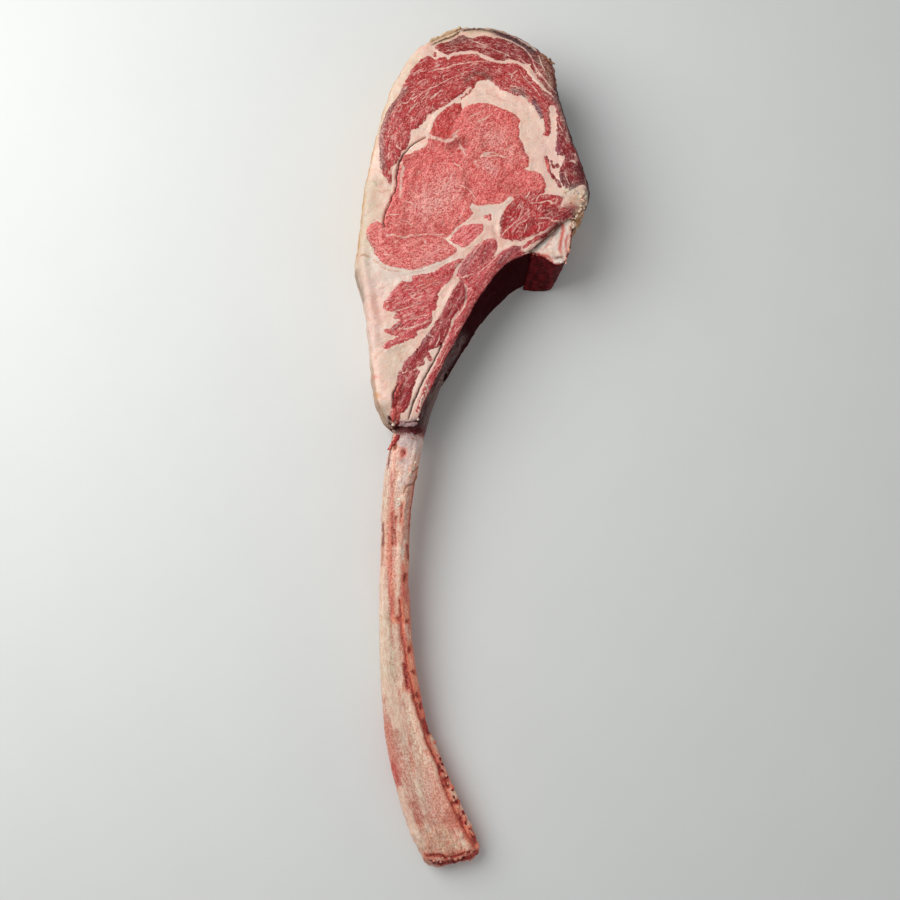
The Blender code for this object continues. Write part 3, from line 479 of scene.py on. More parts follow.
BONE_PALE = [
    # the left side
    (2.2, [(-54.8, -22.9), (-55.3, -31.7), (-56, -41.4), (-56.2, -51.1)]),
    (3.0, [(-57.8, -85.2), (-57.3, -100.2), (-56.7, -112.7), (-56.4, -125.1)]),
    (2.6, [(-56.4, -112.7), (-56.1, -120.2), (-55.8, -130.1)]),
    (3.4, [(-55.7, -127.6), (-55.7, -137.6), (-54.4, -150.1), (-53.2, -162.5)]),
    (5.0, [(-52.4, -160.4), (-49.5, -169.8), (-46.6, -180.6)]),
    # white lines
    (0.9, [(-46.3, -68.9), (-47, -81.4), (-47, -93.9), (-48.1, -103.9), (-46.9, -112)]),
    (1.3, [(-48.9, -121.4), (-48.5, -127.6), (-48, -132.6)]),
    (1.6, [(-48.7, -135.1), (-46.9, -143.8), (-44.7, -156.3), (-43.4, -165)]),
    (1.4, [(-40, -164.8), (-37.1, -173.4), (-33.5, -184.2), (-29.8, -196.4)]),
    # beads
    (1.4, [(-26.9, -203.6), (-24, -210), (-22.1, -215)]),
    # ridges
    (1.3, [(-44.4, -184.2), (-40.4, -194.3), (-37.1, -200.7)]),
    (1.4, [(-37.1, -200.7), (-35.4, -210.7), (-34.5, -221.4), (-32.7, -228.5)]),
    (1.5, [(-32.7, -228.5), (-30.8, -236.3), (-29, -243.4), (-29, -248.3)]),
    # the end
    (3.2, [(-45.7, -225), (-41.3, -237.7), (-37, -248.3), (-32.6, -256.8)]),
    (1.6, [(-9.5, -248.3), (-6.6, -255.4), (-3.7, -258.9)]),
    # the right rim
    (1.1, [(-25.4, -189.2), (-21.1, -200.7), (-18.2, -213.6), (-13.8, -222.8)]),
    (1.3, [(-13.8, -222.8), (-9.4, -229.2), (-5.1, -237.7), (-0, -246.2), (5.4, -256.1)]),
    # the speck and the groove
    (1.2, [(-42.2, -120.2), (-41.8, -123.3), (-40.6, -127.6)]),
    (1.9, [(-47.1, -40.4), (-45.8, -40)]),
]
BONE_TENDON = [
    (4.6, [(-43.9, -2.4), (-40, -2), (-36, -3.9)]),
    (3.4, [(-35.1, -2.4), (-33.1, -2.9)]),
    (4.2, [(-41.9, -7.3), (-38, -8.8), (-36.5, -7.3)]),
    (3.9, [(-42.4, -13.7), (-39.9, -16.1), (-38.5, -13.7)]),
    (3.4, [(-42.9, -20), (-41.9, -23.9), (-43.3, -27.8)]),
    (2.4, [(-39, -20), (-37.5, -17.1)]),
    (2.0, [(-38, -23.9), (-39.4, -27.8), (-40.9, -30.2)]),
]
BONE_SLITS = [
    (0.6, [(-40.7, -23.7), (-38.2, -22.1), (-35.8, -20.1), (-34.1, -18.6)]),
    (0.6, [(-43.8, -35.6), (-42.8, -33.2), (-41.4, -31.2), (-38, -30.6)]),
    (0.6, [(-37.7, -29.8), (-36.4, -26.8), (-35.4, -23.9)]),
    (0.9, [(-50.1, -5.4), (-49.7, -7.3)]),
]

# Soft strokes of colour: what they lie on, colour, half width, strength and points.
PAINT = [
    # the eye and the lobe under it
    ("lean", (195, 68, 60), 1.6, 0.75, [(-33.8, 173), (-37.5, 165.3), (-39.9, 157.7),
        (-41.8, 151.3), (-43, 145.6), (-44.1, 138), (-44.8, 131)]),
    ("lean", (196, 80, 72), 1.2, 0.6, [(19.3, 201.4), (16.7, 196.9), (13.6, 194.3), (10.5, 191.1),
        (6.2, 187.8), (2.4, 184.6), (-1.3, 180.1), (-3.7, 176.3), (-4.8, 169.9)]),
    ("lean", (195, 75, 66), 1, 0.6, [(31, 175), (25.5, 170.5), (21.8, 166.7), (18, 163.5)]),
    ("lean", (205, 85, 78), 3, 0.5, [(27.9, 206.3), (29.8, 195.4), (33, 184), (35.5, 177.3)]),
    ("lean", (160, 52, 46), 3.2, 0.75, [(-14.9, 188), (-11, 190.7), (-6.5, 191.4)]),
    ("lean", (190, 70, 66), 4, 0.6, [(-31.1, 190), (-38.2, 184), (-43.4, 178.6)]),
    ("lean", (236, 150, 140), 10, 0.7, [(-16.9, 158.5), (-28.4, 146.5)]),
    ("lean", (232, 140, 130), 5, 0.6, [(18.1, 192.1), (25.8, 184)]),
    ("lean", (232, 146, 138), 4, 0.7, [(7.7, 176.6), (12.9, 171.9)]),
    ("lean", (198, 78, 72), 2.2, 0.7, [(-6.5, 167.9), (-2.7, 161.2), (-4, 153.2)]),
    ("lean", (200, 84, 78), 2, 0.6, [(1.2, 178.6), (9, 184), (16.8, 181.3)]),
    ("lean", (202, 82, 76), 2.4, 0.6, [(18, 161.2), (27, 158.5), (33.4, 161.2)]),
    ("lean", (204, 84, 78), 3, 0.6, [(-46.3, 128), (-33.5, 130.6), (-16.8, 133.3), (-10.4, 137.2)]),
    ("lean", (224, 142, 132), 8, 0.5, [(8.4, 195.4)]),
    ("lean", (205, 98, 90), 7, 0.4, [(-49.6, 135.2), (-40, 137.2)]),
    ("lean", (222, 132, 124), 5, 0.4, [(-20.7, 120), (-33.5, 110.9)]),
    ("lean", (165, 115, 100), 1.8, 0.7, [(-68.1, 128), (-66.8, 123.3), (-64.2, 119.4)]),
    # the cap and the top
    ("lean", (150, 104, 96), 2.2, 0.8, [(-43.6, 226), (-49.4, 219.2), (-54.6, 211), (-58.4, 202.9),
        (-60, 192.1), (-59.6, 182), (-58.2, 173.2)]),
    ("lean", (120, 72, 60), 1.8, 0.8, [(-3.8, 232.8), (2, 237.6), (7.9, 236.9), (11.8, 234.2)]),
    ("lean", (165, 40, 44), 3, 0.6, [(-2.5, 236.2), (5.3, 242.4), (11.8, 239.7)]),
    ("lean", (140, 100, 88), 1.6, 0.8, [(26.8, 226), (32, 225.3), (34.9, 221.2)]),
    ("lean", (110, 62, 72), 1.4, 0.85, [(40.5, 217.6), (42.9, 213.1), (44.8, 207.2)]),
    ("lean", (190, 60, 62), 5, 0.4, [(-40.3, 219.2), (-46.7, 202.2)]),
    ("lean", (150, 88, 84), 4, 0.6, [(49.6, 224.6), (52.8, 219.2)]),
    ("lean", (135, 92, 84), 2.5, 0.7, [(-13, 258.9), (-7.7, 261.7), (-2.5, 262.4)]),
    ("lean", (150, 56, 58), 3, 0.5, [(18.5, 256.8), (26.3, 252), (32.8, 247.9)]),
    # beside the chine
    ("lean", (120, 20, 26), 2, 0.7, [(46.8, 144.5), (53.2, 145.2)]),
    ("lean", (120, 20, 26), 1.8, 0.6, [(39, 137.2), (34.5, 133.3)]),
    ("lean", (110, 45, 42), 1.2, 0.7, [(19.8, 143.9), (18.5, 137.2), (18.4, 130.6)]),
    # the lower muscles
    ("lean", (180, 104, 104), 3, 0.6, [(-6, 104.4), (-2.8, 112.2), (2.4, 118.7)]),
    ("lean", (140, 30, 40), 2, 0.6, [(6.2, 110.9), (8.8, 117.4), (11.3, 121.4)]),
    ("lean", (120, 18, 24), 2.4, 0.7, [(-28.3, 65.3), (-32.8, 57.7), (-36.6, 53.2)]),
    ("lean", (205, 90, 78), 2.5, 0.8, [(-46.7, 32.1), (-48, 22.4), (-48.5, 12.8)]),
    ("lean", (130, 24, 28), 0.9, 0.8, [(-43.6, 36.6), (-45.1, 27.6), (-45.7, 19.2)]),
    ("lean", (205, 80, 62), 2.5, 0.5, [(-30.2, 96), (-25.8, 99.2)]),
    ("lean", (205, 80, 62), 2.5, 0.5, [(-55.1, 83.2)]),
    ("lean", (120, 60, 66), 2, 0.6, [(17.7, 110.9), (24.1, 118.1), (29.3, 120.7)]),
    # the outer edge
    ("lean", (140, 60, 80), 1.5, 0.6, [(55.1, 192.1), (55.6, 185.3), (56.2, 182)]),
    ("lean", (66, 16, 24), 3.5, 0.85, [(69.7, 173.2), (72.8, 163.9)]),
    # the kernel fat and the fat cap
    ("fat", (244, 200, 188), 6, 0.5, [(47.2, 185.3), (50.3, 171.9)]),
    ("fat", (212, 192, 168), 9, 0.85, [(-67.2, 161.9), (-70.2, 143.9), (-71.3, 126.6)]),
    ("fat", (214, 165, 110), 1.2, 0.6, [(-55.9, 221.2), (-57.8, 213.7), (-59.8, 210.3)]),
    ("fat", (214, 172, 120), 1.2, 0.6, [(-71.6, 159.8), (-73.1, 141.9), (-74.6, 133.3)]),
    ("fat", (226, 204, 180), 6, 0.7, [(-37.8, 245.2), (-46.9, 230.1), (-54.6, 215.8),
        (-62.2, 192.1)]),
    ("fat", (228, 190, 176), 3, 0.7, [(-27.4, 253.4)]),
    ("fat", (212, 182, 160), 6, 0.75, [(-71.9, 113.5), (-71.1, 99.2)]),
    ("fat", (188, 166, 150), 2.6, 0.75, [(-75, 107), (-74.3, 99.2), (-73, 91.5)]),
    ("fat", (216, 190, 162), 6, 0.6, [(-70.7, 128), (-68.1, 117.4), (-69.3, 110.9)]),
    ("fat", (230, 214, 202), 8, 0.7, [(-20.7, 110.9), (-39.8, 104.4), (-55.8, 102.5),
        (-64.2, 110.9)]),
    ("fat", (226, 196, 184), 6, 0.7, [(-65.4, 96), (-62.8, 80), (-60.2, 60.9)]),
    ("fat", (222, 198, 178), 9, 0.7, [(-46.1, 53.2), (-51.2, 41.7)]),
    # the tip
    ("fat", (172, 150, 128), 4, 0.85, [(-56.8, 17.3), (-54.9, 9.6), (-51, 4.5)]),
    ("fat", (215, 150, 90), 1.6, 0.8, [(-60.3, 25.7)]),
    ("fat", (215, 130, 120), 1.2, 0.7, [(-62.7, 37.8)]),
    # the fat by the chine
    ("fat", (210, 166, 128), 3.5, 0.8, [(66.2, 151.8), (71.4, 155.2)]),
    ("fat", (110, 72, 50), 1.1, 0.9, [(68.1, 147.2)]),
    ("fat", (96, 66, 50), 1.1, 0.9, [(73.4, 158.5)]),
    ("fat", (232, 212, 200), 4, 0.6, [(1.8, 146.5), (14.7, 143.9)]),
    ("fat", (225, 170, 155), 2, 0.6, [(11.4, 133.3), (15.2, 126.6)]),
    # the seam over the rib and the tip
    ("fat", (225, 198, 184), 3, 0.7, [(-25.1, 53.2), (-33.4, 32.1), (-39.7, 16)]),
    ("fat", (165, 135, 138), 1.6, 0.9, [(-47.2, 7), (-40.9, 7.7), (-36.5, 9.6)]),
    # the rim
    ("fat", (226, 197, 165), 3, 0.8, [(-20.8, 260.3), (-11, 265.8)]),
    ("fat", (222, 190, 160), 2.5, 0.8, [(-1.2, 266.5), (12, 267.2)]),
    ("both", (100, 40, 44), 2.2, 0.9, [(16.5, 265.1), (25, 261.7), (32.9, 256.2), (39.4, 250.6),
        (44.5, 245.2)]),
    ("both", (150, 112, 92), 2.5, 0.8, [(45.2, 247.9), (49.7, 239.7), (51.6, 229.4)]),
    ("both", (165, 120, 112), 1.5, 0.7, [(54.7, 222.6), (58.5, 209), (62.2, 192.1)]),
    ("both", (44, 8, 14), 2, 0.9, [(55.4, 226), (61.1, 211), (65.5, 195.4), (71.7, 178.6),
        (76, 165.2)]),
    ("fat", (206, 150, 96), 0.8, 0.8, [(-56.6, 220.5), (-59.1, 211.7), (-61, 203.6),
        (-64.2, 192.7), (-66.7, 180.6), (-68.5, 172.6), (-70.7, 162.5), (-71.6, 154.5),
        (-72.2, 145.9), (-73.1, 138.6), (-74, 131.9), (-74.5, 125.3), (-75.1, 118.7)]),
    ("fat", (150, 136, 124), 1.2, 0.8, [(-76, 108.3), (-75.3, 101.2), (-73.4, 94.1), (-71.1, 89)]),
    ("both", (186, 146, 118), 1.5, 0.8, [(-26.7, 258.9), (-22.8, 262), (-16.9, 265.1),
        (-11, 267.5), (-7.1, 268.9)]),
    ("both", (150, 112, 88), 0.6, 0.8, [(-26.1, 256.8), (-20.8, 259.6), (-15.6, 261.3),
        (-11, 263.4), (-8.4, 265.8)]),
    ("both", (120, 96, 84), 1, 0.75, [(-5.8, 267.2), (0.2, 268.2), (6.7, 267.9), (13.3, 266.5)]),
    ("both", (90, 62, 62), 1.2, 0.9, [(13.3, 267.5), (21.8, 264.4), (29, 260.6), (35.5, 256.5),
        (41.3, 252.4)]),
    # lines in the lean
    ("lean", (110, 62, 72), 1, 0.8, [(40.4, 218.5), (42.6, 214.4), (44.5, 209)]),
    ("lean", (110, 66, 72), 0.8, 0.7, [(26.8, 225), (30.7, 222.6), (33.9, 221.2)]),
    ("lean", (90, 44, 52), 0.8, 0.7, [(-51.3, 67.9), (-48.1, 69.8), (-45.5, 71.1)]),
    # lines in the fat
    ("fat", (196, 140, 110), 0.5, 0.7, [(-51.5, 238.3), (-46.9, 241), (-48.2, 235.6)]),
    ("fat", (170, 120, 90), 0.5, 0.7, [(-72.5, 115.1), (-69.3, 115.4), (-66.1, 114.1)]),
    ("fat", (226, 160, 140), 3, 0.45, [(-64.1, 86.4), (-60.2, 74.9)]),
    ("fat", (206, 150, 112), 0.4, 0.8, [(-71.9, 115.8), (-69.3, 116.2), (-66.1, 114.8)]),
    ("fat", (200, 142, 108), 0.4, 0.8, [(-63.2, 112.2), (-60.3, 110.6)]),
    ("fat", (206, 146, 112), 0.35, 0.8, [(-57.8, 108), (-54.6, 106), (-51.4, 105), (-46.9, 104.7)]),
    # beside the chine
    ("both", (150, 28, 34), 2.2, 0.85, [(48.7, 139.9), (56.4, 142.5), (62.3, 146.5),
        (65.5, 147.2)]),
    ("both", (132, 24, 30), 1.7, 0.9, [(44.1, 126.6), (51.2, 132.6), (57.7, 138.6), (62.9, 143.2)]),
    ("both", (206, 156, 108), 2.4, 0.8, [(69.3, 142.5), (68.6, 137.9), (66, 133.9)]),
    ("both", (238, 214, 196), 3, 0.8, [(60.5, 155.8), (66.9, 158.5), (72, 155.8), (70.7, 150.5)]),
    # a painted shadow line in the hole between the crumbs
    ("both", (70, 26, 24), 1.4, 0.9, [(64.8, 144.5), (66, 139.9), (66.6, 134.6)]),
    # the dark corner of the outer edge
    ("lean", (112, 20, 28), 3.5, 0.6, [(64.6, 181.3), (69.7, 170.6)]),
    ("lean", (90, 14, 24), 3, 0.7, [(56.7, 167.9), (61.8, 161.2), (66.9, 159.8)]),
    # the chine's sawn top
    ("chine", (218, 74, 54), 1, 0.95, [(58, 137.2), (58.6, 131.9), (56.9, 125.3), (56.2, 120),
        (57.4, 117.4)]),
    ("chine", (206, 64, 62), 0.8, 0.9, [(61.4, 128.6), (60.1, 124), (60.6, 118.7)]),
    ("chine", (240, 196, 166), 1, 0.6, [(63.4, 135.9), (63.3, 128), (62.6, 120)]),
    ("chine", (244, 206, 182), 2, 0.5, [(48.5, 117.4), (54.9, 116.1), (61.3, 116.1)]),
    ("chine", (216, 84, 64), 0.8, 0.95, [(36.9, 117.4), (43.3, 116.1), (47.8, 115.8), (51, 112.8),
        (55.4, 108.3)]),
    ("chine", (110, 26, 28), 0.9, 0.9, [(52.9, 114.1), (57.4, 114.8)]),
    ("chine", (252, 238, 228), 1.6, 0.9, [(53.5, 111.5), (56.7, 110.9)]),
    ("chine", (222, 120, 112), 0.5, 0.6, [(46.6, 120.7), (51.1, 126.6), (53.7, 131.9)]),
    ("chine", (226, 130, 120), 0.4, 0.6, [(43.4, 118.1), (49.2, 122.7), (52.4, 123.3)]),
    # the side wall over the rib
    ("wall", (122, 94, 92), 2.8, 0.85, [(-4, 63), (-11, 56), (-16.2, 48.8), (-20.7, 39.3),
        (-25, 29), (-28, 20), (-31, 12)]),
    ("wall", (70, 30, 34), 1, 0.6, [(-9, 60), (-15, 52), (-20, 43), (-24.5, 32)]),
]

# The same on the rib.
BONE_PAINT = [
    # below the meat
    ("bone", (190, 140, 126), 1.6, 0.7, [(-48.8, 2.2), (-47.5, -2.2)]),
    ("bone", (196, 152, 110), 0.8, 0.8, [(-30.9, -2.2), (-32.8, -11.8), (-34.1, -21.4)]),
    ("bone", (206, 190, 186), 5, 0.8, [(-43, -2.2), (-38.5, -5.5)]),
    ("bone", (176, 150, 158), 2.2, 0.7, [(-36.6, -2.2)]),
    ("bone", (160, 128, 150), 1.8, 0.6, [(-43.6, -15.7)]),
    ("bone", (150, 110, 140), 1.2, 0.6, [(-49.4, -14.4)]),
    # the upper half
    ("bone", (222, 136, 116), 4, 0.6, [(-53.8, -40.4), (-52.5, -65.8), (-52.5, -84.7)]),
    ("bone", (246, 214, 192), 5, 0.55, [(-46.8, -9.9), (-47.4, -27.7), (-46.8, -53.1),
        (-46.1, -78.4)]),
    ("bone", (226, 186, 158), 3, 0.7, [(-55.7, -27.7), (-57, -53.1), (-57.6, -78.4)]),
    ("bone", (238, 204, 184), 4.5, 0.8, [(-45.5, -31.6), (-44.2, -46.8), (-44.9, -65.8)]),
    ("bone", (196, 150, 134), 3, 0.75, [(-41.1, -35.4), (-41, -49.9), (-41.7, -64.5)]),
    ("bone", (240, 224, 210), 0.7, 0.8, [(-46.2, -27.7), (-47.1, -34.1)]),
    ("bone", (240, 220, 204), 0.7, 0.8, [(-42.9, -66.4), (-43.6, -70.8), (-43.9, -75.9)]),
    ("bone", (222, 160, 130), 4, 0.6, [(-49.9, -97.4), (-48.6, -116.3)]),
    # the middle and the lower half
    ("bone", (208, 194, 166), 6, 0.85, [(-55.6, -116.3), (-55, -141.6), (-53.6, -166.7)]),
    ("bone", (200, 178, 156), 6, 0.7, [(-53.6, -179.3), (-51.1, -188.7)]),
    ("bone", (212, 146, 128), 4.5, 0.5, [(-56.2, -160.4), (-54.9, -176.1)]),
    ("bone", (208, 134, 116), 5.5, 0.85, [(-54.2, -184.3), (-49.7, -204.3), (-44.6, -222.9),
        (-39.5, -238.4)]),
    ("bone", (206, 116, 104), 3, 0.7, [(-51.6, -207.4), (-47.2, -222.9)]),
    ("bone", (226, 190, 168), 2.4, 0.8, [(-44.6, -217.9), (-38.3, -236.5), (-33.2, -248.8)]),
    ("bone", (206, 112, 98), 2.6, 0.8, [(-36.4, -240.2), (-33.2, -245.1)]),
    ("bone", (222, 166, 146), 7, 0.8, [(-28.2, -210.5), (-23.1, -224.1), (-21.9, -234)]),
    ("bone", (212, 188, 164), 3.5, 0.8, [(-42.8, -188.7), (-36.4, -210.5), (-33.2, -229.1)]),
    ("bone", (190, 112, 96), 5, 0.7, [(-36.4, -232.2), (-31.9, -241.4)]),
    ("bone", (214, 130, 112), 4, 0.8, [(-16.8, -242.7), (-9.2, -248.8)]),
    ("bone", (208, 160, 134), 8, 0.85, [(-23.7, -252.5), (-15.5, -257.4)]),
    # the sawn end
    ("bone", (196, 116, 100), 2.2, 0.7, [(-26.9, -261.1), (-16.8, -263.6), (-6.7, -261.1)]),
    ("bone", (228, 196, 166), 1.4, 0.7, [(-26.9, -248.8), (-21.8, -255), (-18.1, -261.1)]),
    ("bone", (226, 190, 160), 1.2, 0.7, [(-20.6, -246.4), (-13, -253.7), (-8, -259.9)]),
    ("bone", (200, 160, 140), 5, 0.8, [(-30, -259.9), (-28.1, -264.9)]),
    # the right band
    ("bone", (190, 112, 98), 5, 0.8, [(-42.9, -91.1), (-42.3, -116.3), (-39.7, -135.3)]),
    ("bone", (196, 118, 100), 5, 0.8, [(-35.9, -154.2), (-30.8, -173), (-24.4, -191.8)]),
    ("bone", (200, 122, 106), 5, 0.6, [(-29.5, -176.1), (-25.7, -188.7), (-20.6, -203)]),
    ("bone", (186, 104, 90), 5, 0.8, [(-15.5, -213.6), (-6.7, -229.1), (0.9, -248.8)]),
    # edges
    ("bone", (150, 104, 84), 1.3, 0.7, [(-35.3, -24.6), (-37.9, -53.1), (-39.7, -78.4)]),
    ("bone", (228, 190, 156), 0.6, 0.8, [(-33.4, -22.7), (-36.3, -46.8), (-38.2, -72.1),
        (-38.5, -91.1)]),
    ("bone", (112, 44, 46), 0.7, 0.9, [(-51.5, 1), (-53.5, -11.8), (-54.8, -24.6), (-56, -40.4),
        (-57.3, -53.1), (-57.6, -68.9)]),
    ("bone", (176, 112, 96), 0.6, 0.7, [(-57.6, -68.9), (-58.2, -84.7), (-58.8, -103.7)]),
    ("bone", (206, 112, 98), 0.5, 0.7, [(-53.3, -68.9), (-52, -78.4), (-52.1, -87.9),
        (-53.2, -98.6), (-52.1, -108.8), (-51.6, -120.7), (-50.1, -134.6)]),
    # streaks
    ("bone", (196, 88, 78), 1.2, 0.7, [(-51.1, -174.3), (-49.8, -180.5)]),
    ("bone", (214, 128, 110), 1.6, 0.75, [(-47.3, -160.4), (-43.5, -179.3), (-39, -198),
        (-35.2, -216.7)]),
    ("bone", (232, 206, 180), 2.2, 0.6, [(-41.6, -166.7), (-37.1, -188.7), (-30.7, -207.4)]),
    # more of the end
    ("bone", (222, 170, 144), 4, 0.7, [(-30, -250.7), (-28.1, -259.9)]),
    ("bone", (186, 104, 88), 3, 0.7, [(-14.3, -236.5), (-8, -245.1), (-2.9, -252.5)]),
    ("bone", (150, 84, 70), 2, 0.6, [(-30.6, -267.4), (-20.6, -269.9), (-10.5, -269.3)]),
    # raw lines
    ("bone", (186, 84, 80), 1.3, 0.8, [(-50.4, -208), (-47.8, -215.5), (-46.5, -220.4)]),
    ("bone", (196, 74, 70), 1.1, 0.5, [(-51.9, -21.4), (-51.2, -40.4), (-51.9, -59.4)]),
    ("bone", (214, 92, 84), 1.2, 0.5, [(-53.1, -62.6), (-51.8, -78.4), (-52.5, -97.4),
        (-50.5, -116.3)]),
    # in the slit over the rib, and the recess below it
    ("bone", (150, 126, 112), 0.7, 0.8, [(-8.5, 58.9), (-14.3, 45.7), (-20.7, 30.1), (-26.4, 13.8),
        (-30.3, -1)]),
    ("bone", (122, 96, 90), 2.6, 0.8, [(-11.1, 59.5), (-16.9, 45.7), (-22.6, 31.4), (-27.1, 18.4),
        (-29, 8)]),
    # painted shade over dark red meat in the recess under the meat's end
    ("bone", (100, 22, 28), 3.6, 0.95, [(-46.2, 4.2), (-38.6, 3.5), (-30.9, 3.5)]),
]

# Lumps strewn along a row of points: colour; length, width and height; how many; how far
# they stray; how deep they sit; and the points.
SCRAPS = [
    # lip of dried fat
    ((216, 182, 146), (4.6, 1.9, 1.1), 14, 0.5, 0.1,
     [(-27.4, 259.6), (-22.8, 262.4), (-16.9, 265.1), (-11, 267.5), (-7.1, 268.6)]),
    # edge of the lip
    ((146, 108, 84), (3.4, 0.9, 0.9), 14, 0.3, 0,
     [(-26.1, 257.1), (-20.8, 259.6), (-15.6, 261.7), (-11, 263.7), (-7.7, 266.5)]),
    # top rim
    ((140, 112, 98), (4.2, 1.1, 0.9), 12, 0.4, 0.1,
     [(-5.1, 267.2), (0.2, 268.3), (6.7, 268.2), (13.3, 266.5)]),
    # dark rim
    ((92, 60, 60), (4.4, 1.2, 0.9), 14, 0.5, 0.2,
     [(14.6, 266.5), (23.1, 263.4), (30.3, 259.6), (36.8, 255.5), (42.6, 251.3)]),
    # brown flap
    ((152, 108, 84), (3.6, 2.2, 0.9), 9, 0.6, 0,
     [(45.2, 251), (48.5, 248.6), (51.7, 245.8), (53.7, 244.5)]),
    # brown flap side
    ((128, 84, 70), (3.0, 1.4, 0.9), 6, 0.4, 0.1, [(53, 243.1), (53.6, 237.6), (55.5, 230.1)]),
    # crumbs
    ((234, 204, 180), (2.8, 2.0, 1.1), 44, 2.9, 0.35,
     [(59.1, 154.5), (65.6, 158.5), (72, 155.8), (72, 149.2), (68.6, 142.5), (66, 135.9)]),
    # orange crumbs
    ((230, 184, 156), (2.4, 1.7, 1.0), 9, 2.8, 0.3,
     [(64.3, 154.5), (71.4, 153.2), (70.6, 145.2), (66.7, 138.6), (64.7, 131.9)]),
    # red crumbs
    ((196, 96, 82), (2.4, 1.4, 0.9), 4, 2, 0.35, [(61.6, 147.9), (66.8, 147.2), (69.4, 151.8)]),
    # brown crumbs
    ((150, 108, 82), (2.2, 1.5, 1.0), 5, 1.4, 0.4,
     [(67.5, 155.8), (72, 154.5), (70, 146.5), (66, 139.2)]),
    # nodule by the chine
    ((248, 234, 222), (3.6, 2.6, 1.2), 3, 0.4, 0.5, [(54.8, 112.2), (57.4, 111.9)]),
    # edge of the chine
    ((226, 158, 136), (2.4, 1.3, 1.0), 16, 0.7, 0.4,
     [(63.7, 134.6), (63, 125.3), (61.9, 118.7), (59.3, 110.9)]),
    # left edge of the chine
    ((212, 112, 92), (2.0, 0.9, 0.8), 9, 0.4, 0.4, [(38.2, 117.4), (46.5, 115.4), (53.6, 113.5)]),
    # white nodule
    ((238, 214, 198), (3.4, 2.8, 2.4), 1, 0, 0.4, [(-50.4, 7)]),
    # white nodule 2
    ((234, 208, 192), (3.2, 2.8, 2.0), 1, 0, 0.9, [(-34.9, 10.6)]),
    # cord of flesh
    ((190, 80, 74), (6.4, 2.5, 1.6), 18, 0.3, 0.6,
     [(-43.6, 35.9), (-46.7, 28.2), (-48.6, 21.1), (-49.2, 14.7), (-50.4, 9.6)]),
    # left of the cord
    ((146, 36, 40), (3.6, 1.1, 1.0), 8, 0.4, 0.3, [(-44.8, 32.7), (-48, 25), (-50.1, 16)]),
    # beads
    ((236, 194, 182), (2.0, 1.5, 1.3), 13, 0.5, 0.15,
     [(-28.9, 32.7), (-30.8, 25.7), (-33, 20.5), (-34.3, 14.1)]),
    # tip folds
    ((168, 138, 126), (3.4, 1.6, 1.3), 9, 0.7, 0.4, [(-54.9, 12.2), (-52.9, 7), (-49.1, 3.8)]),
    # band over the recess
    ((172, 138, 138), (4.4, 2.2, 1.5), 10, 0.5, 0.6, [(-46.6, 6.7), (-40.9, 7.3), (-35.8, 7.7)]),
    # recess: dark red lumps, darkened as painted shade under the meat's end
    ((88, 18, 24), (5.0, 3.2, 1.4), 8, 0.9, 1, [(-43.7, 4.2), (-37.9, 3.5), (-33.5, 3.8)]),
    # tuft root
    ((150, 40, 44), (3.6, 2.4, 1.2), 5, 0.9, 0.4, [(-48.8, -2.2), (-46.9, 0.3)]),
    # recess light bits
    ((190, 130, 116), (2.4, 1.1, 0.9), 5, 1.2, 0.4, [(-47.5, 2.2), (-41.1, -0.3), (-33.4, -1)]),
    # tuft
    ((172, 42, 44), (4.0, 0.9, 0.8), 10, 1.1, 0, [(-52.6, -6.7), (-50.7, -2.9), (-48.1, -0.3)]),
    # tuft tips
    ((214, 112, 92), (3.0, 0.8, 0.7), 6, 1, 0, [(-53.9, -8), (-52, -4.8)]),
    # tendon flap
    ((216, 186, 166), (4.0, 2.2, 0.9), 7, 0.7, 0.1, [(-36.6, -16.3), (-38.5, -21.4), (-41.1, -25.8)]),
    # edge beads
    ((214, 116, 96), (3.4, 1.7, 1.0), 12, 0.8, 0.5,
     [(-25.1, -192.4), (-19.3, -210.5), (-11.1, -227.2), (-4.2, -241.4), (0.8, -252.5)]),
    # edge clots
    ((126, 26, 30), (3.2, 1.6, 0.9), 11, 0.9, 0.35,
     [(-22.5, -202.4), (-16.8, -216.1), (-8.6, -232.8), (-1.7, -250.1)]),
    # cream beads
    ((226, 168, 140), (2.6, 1.5, 1.0), 8, 1, 0.45,
     [(-23.1, -199.3), (-14.9, -221), (-6.7, -238.4), (1.5, -255)]),
    # end crumbs
    ((206, 138, 118), (2.4, 1.6, 1.2), 14, 1.2, 0.3,
     [(-30.6, -264.9), (-20.6, -267.4), (-9.2, -264.9), (2.1, -259.9)]),
    # end clots
    ((124, 34, 32), (2.4, 1.5, 1.1), 10, 1, 0.3, [(-26.9, -267.4), (-15.5, -268.6), (-4.2, -264.9)]),
    # speck
    ((246, 236, 224), (3.6, 3.2, 1.5), 1, 0, 0.3, [(-46.8, -39.8)]),
    # bits by the speck
    ((240, 226, 210), (1.8, 1.3, 0.9), 5, 0.6, 0.2, [(-48.7, -41.1), (-46.1, -43), (-47.4, -44.9)]),
]


def linear(colour):
    """A colour of 0 to 255, as seen on a screen, as the linear values that shaders use."""
    part = np.asarray(colour, float) / 255.0
    return np.where(part <= 0.04045, part / 12.92, ((part + 0.055) / 1.055) ** 2.4)


def rgba(colour):
    return (*linear(colour), 1.0)


def blend(value, low, high):
    part = np.clip((value - low) / (high - low), 0.0, 1.0)
    return part * part * (3.0 - 2.0 * part)


# ---- shader nodes -----------------------------------------------------------------------------


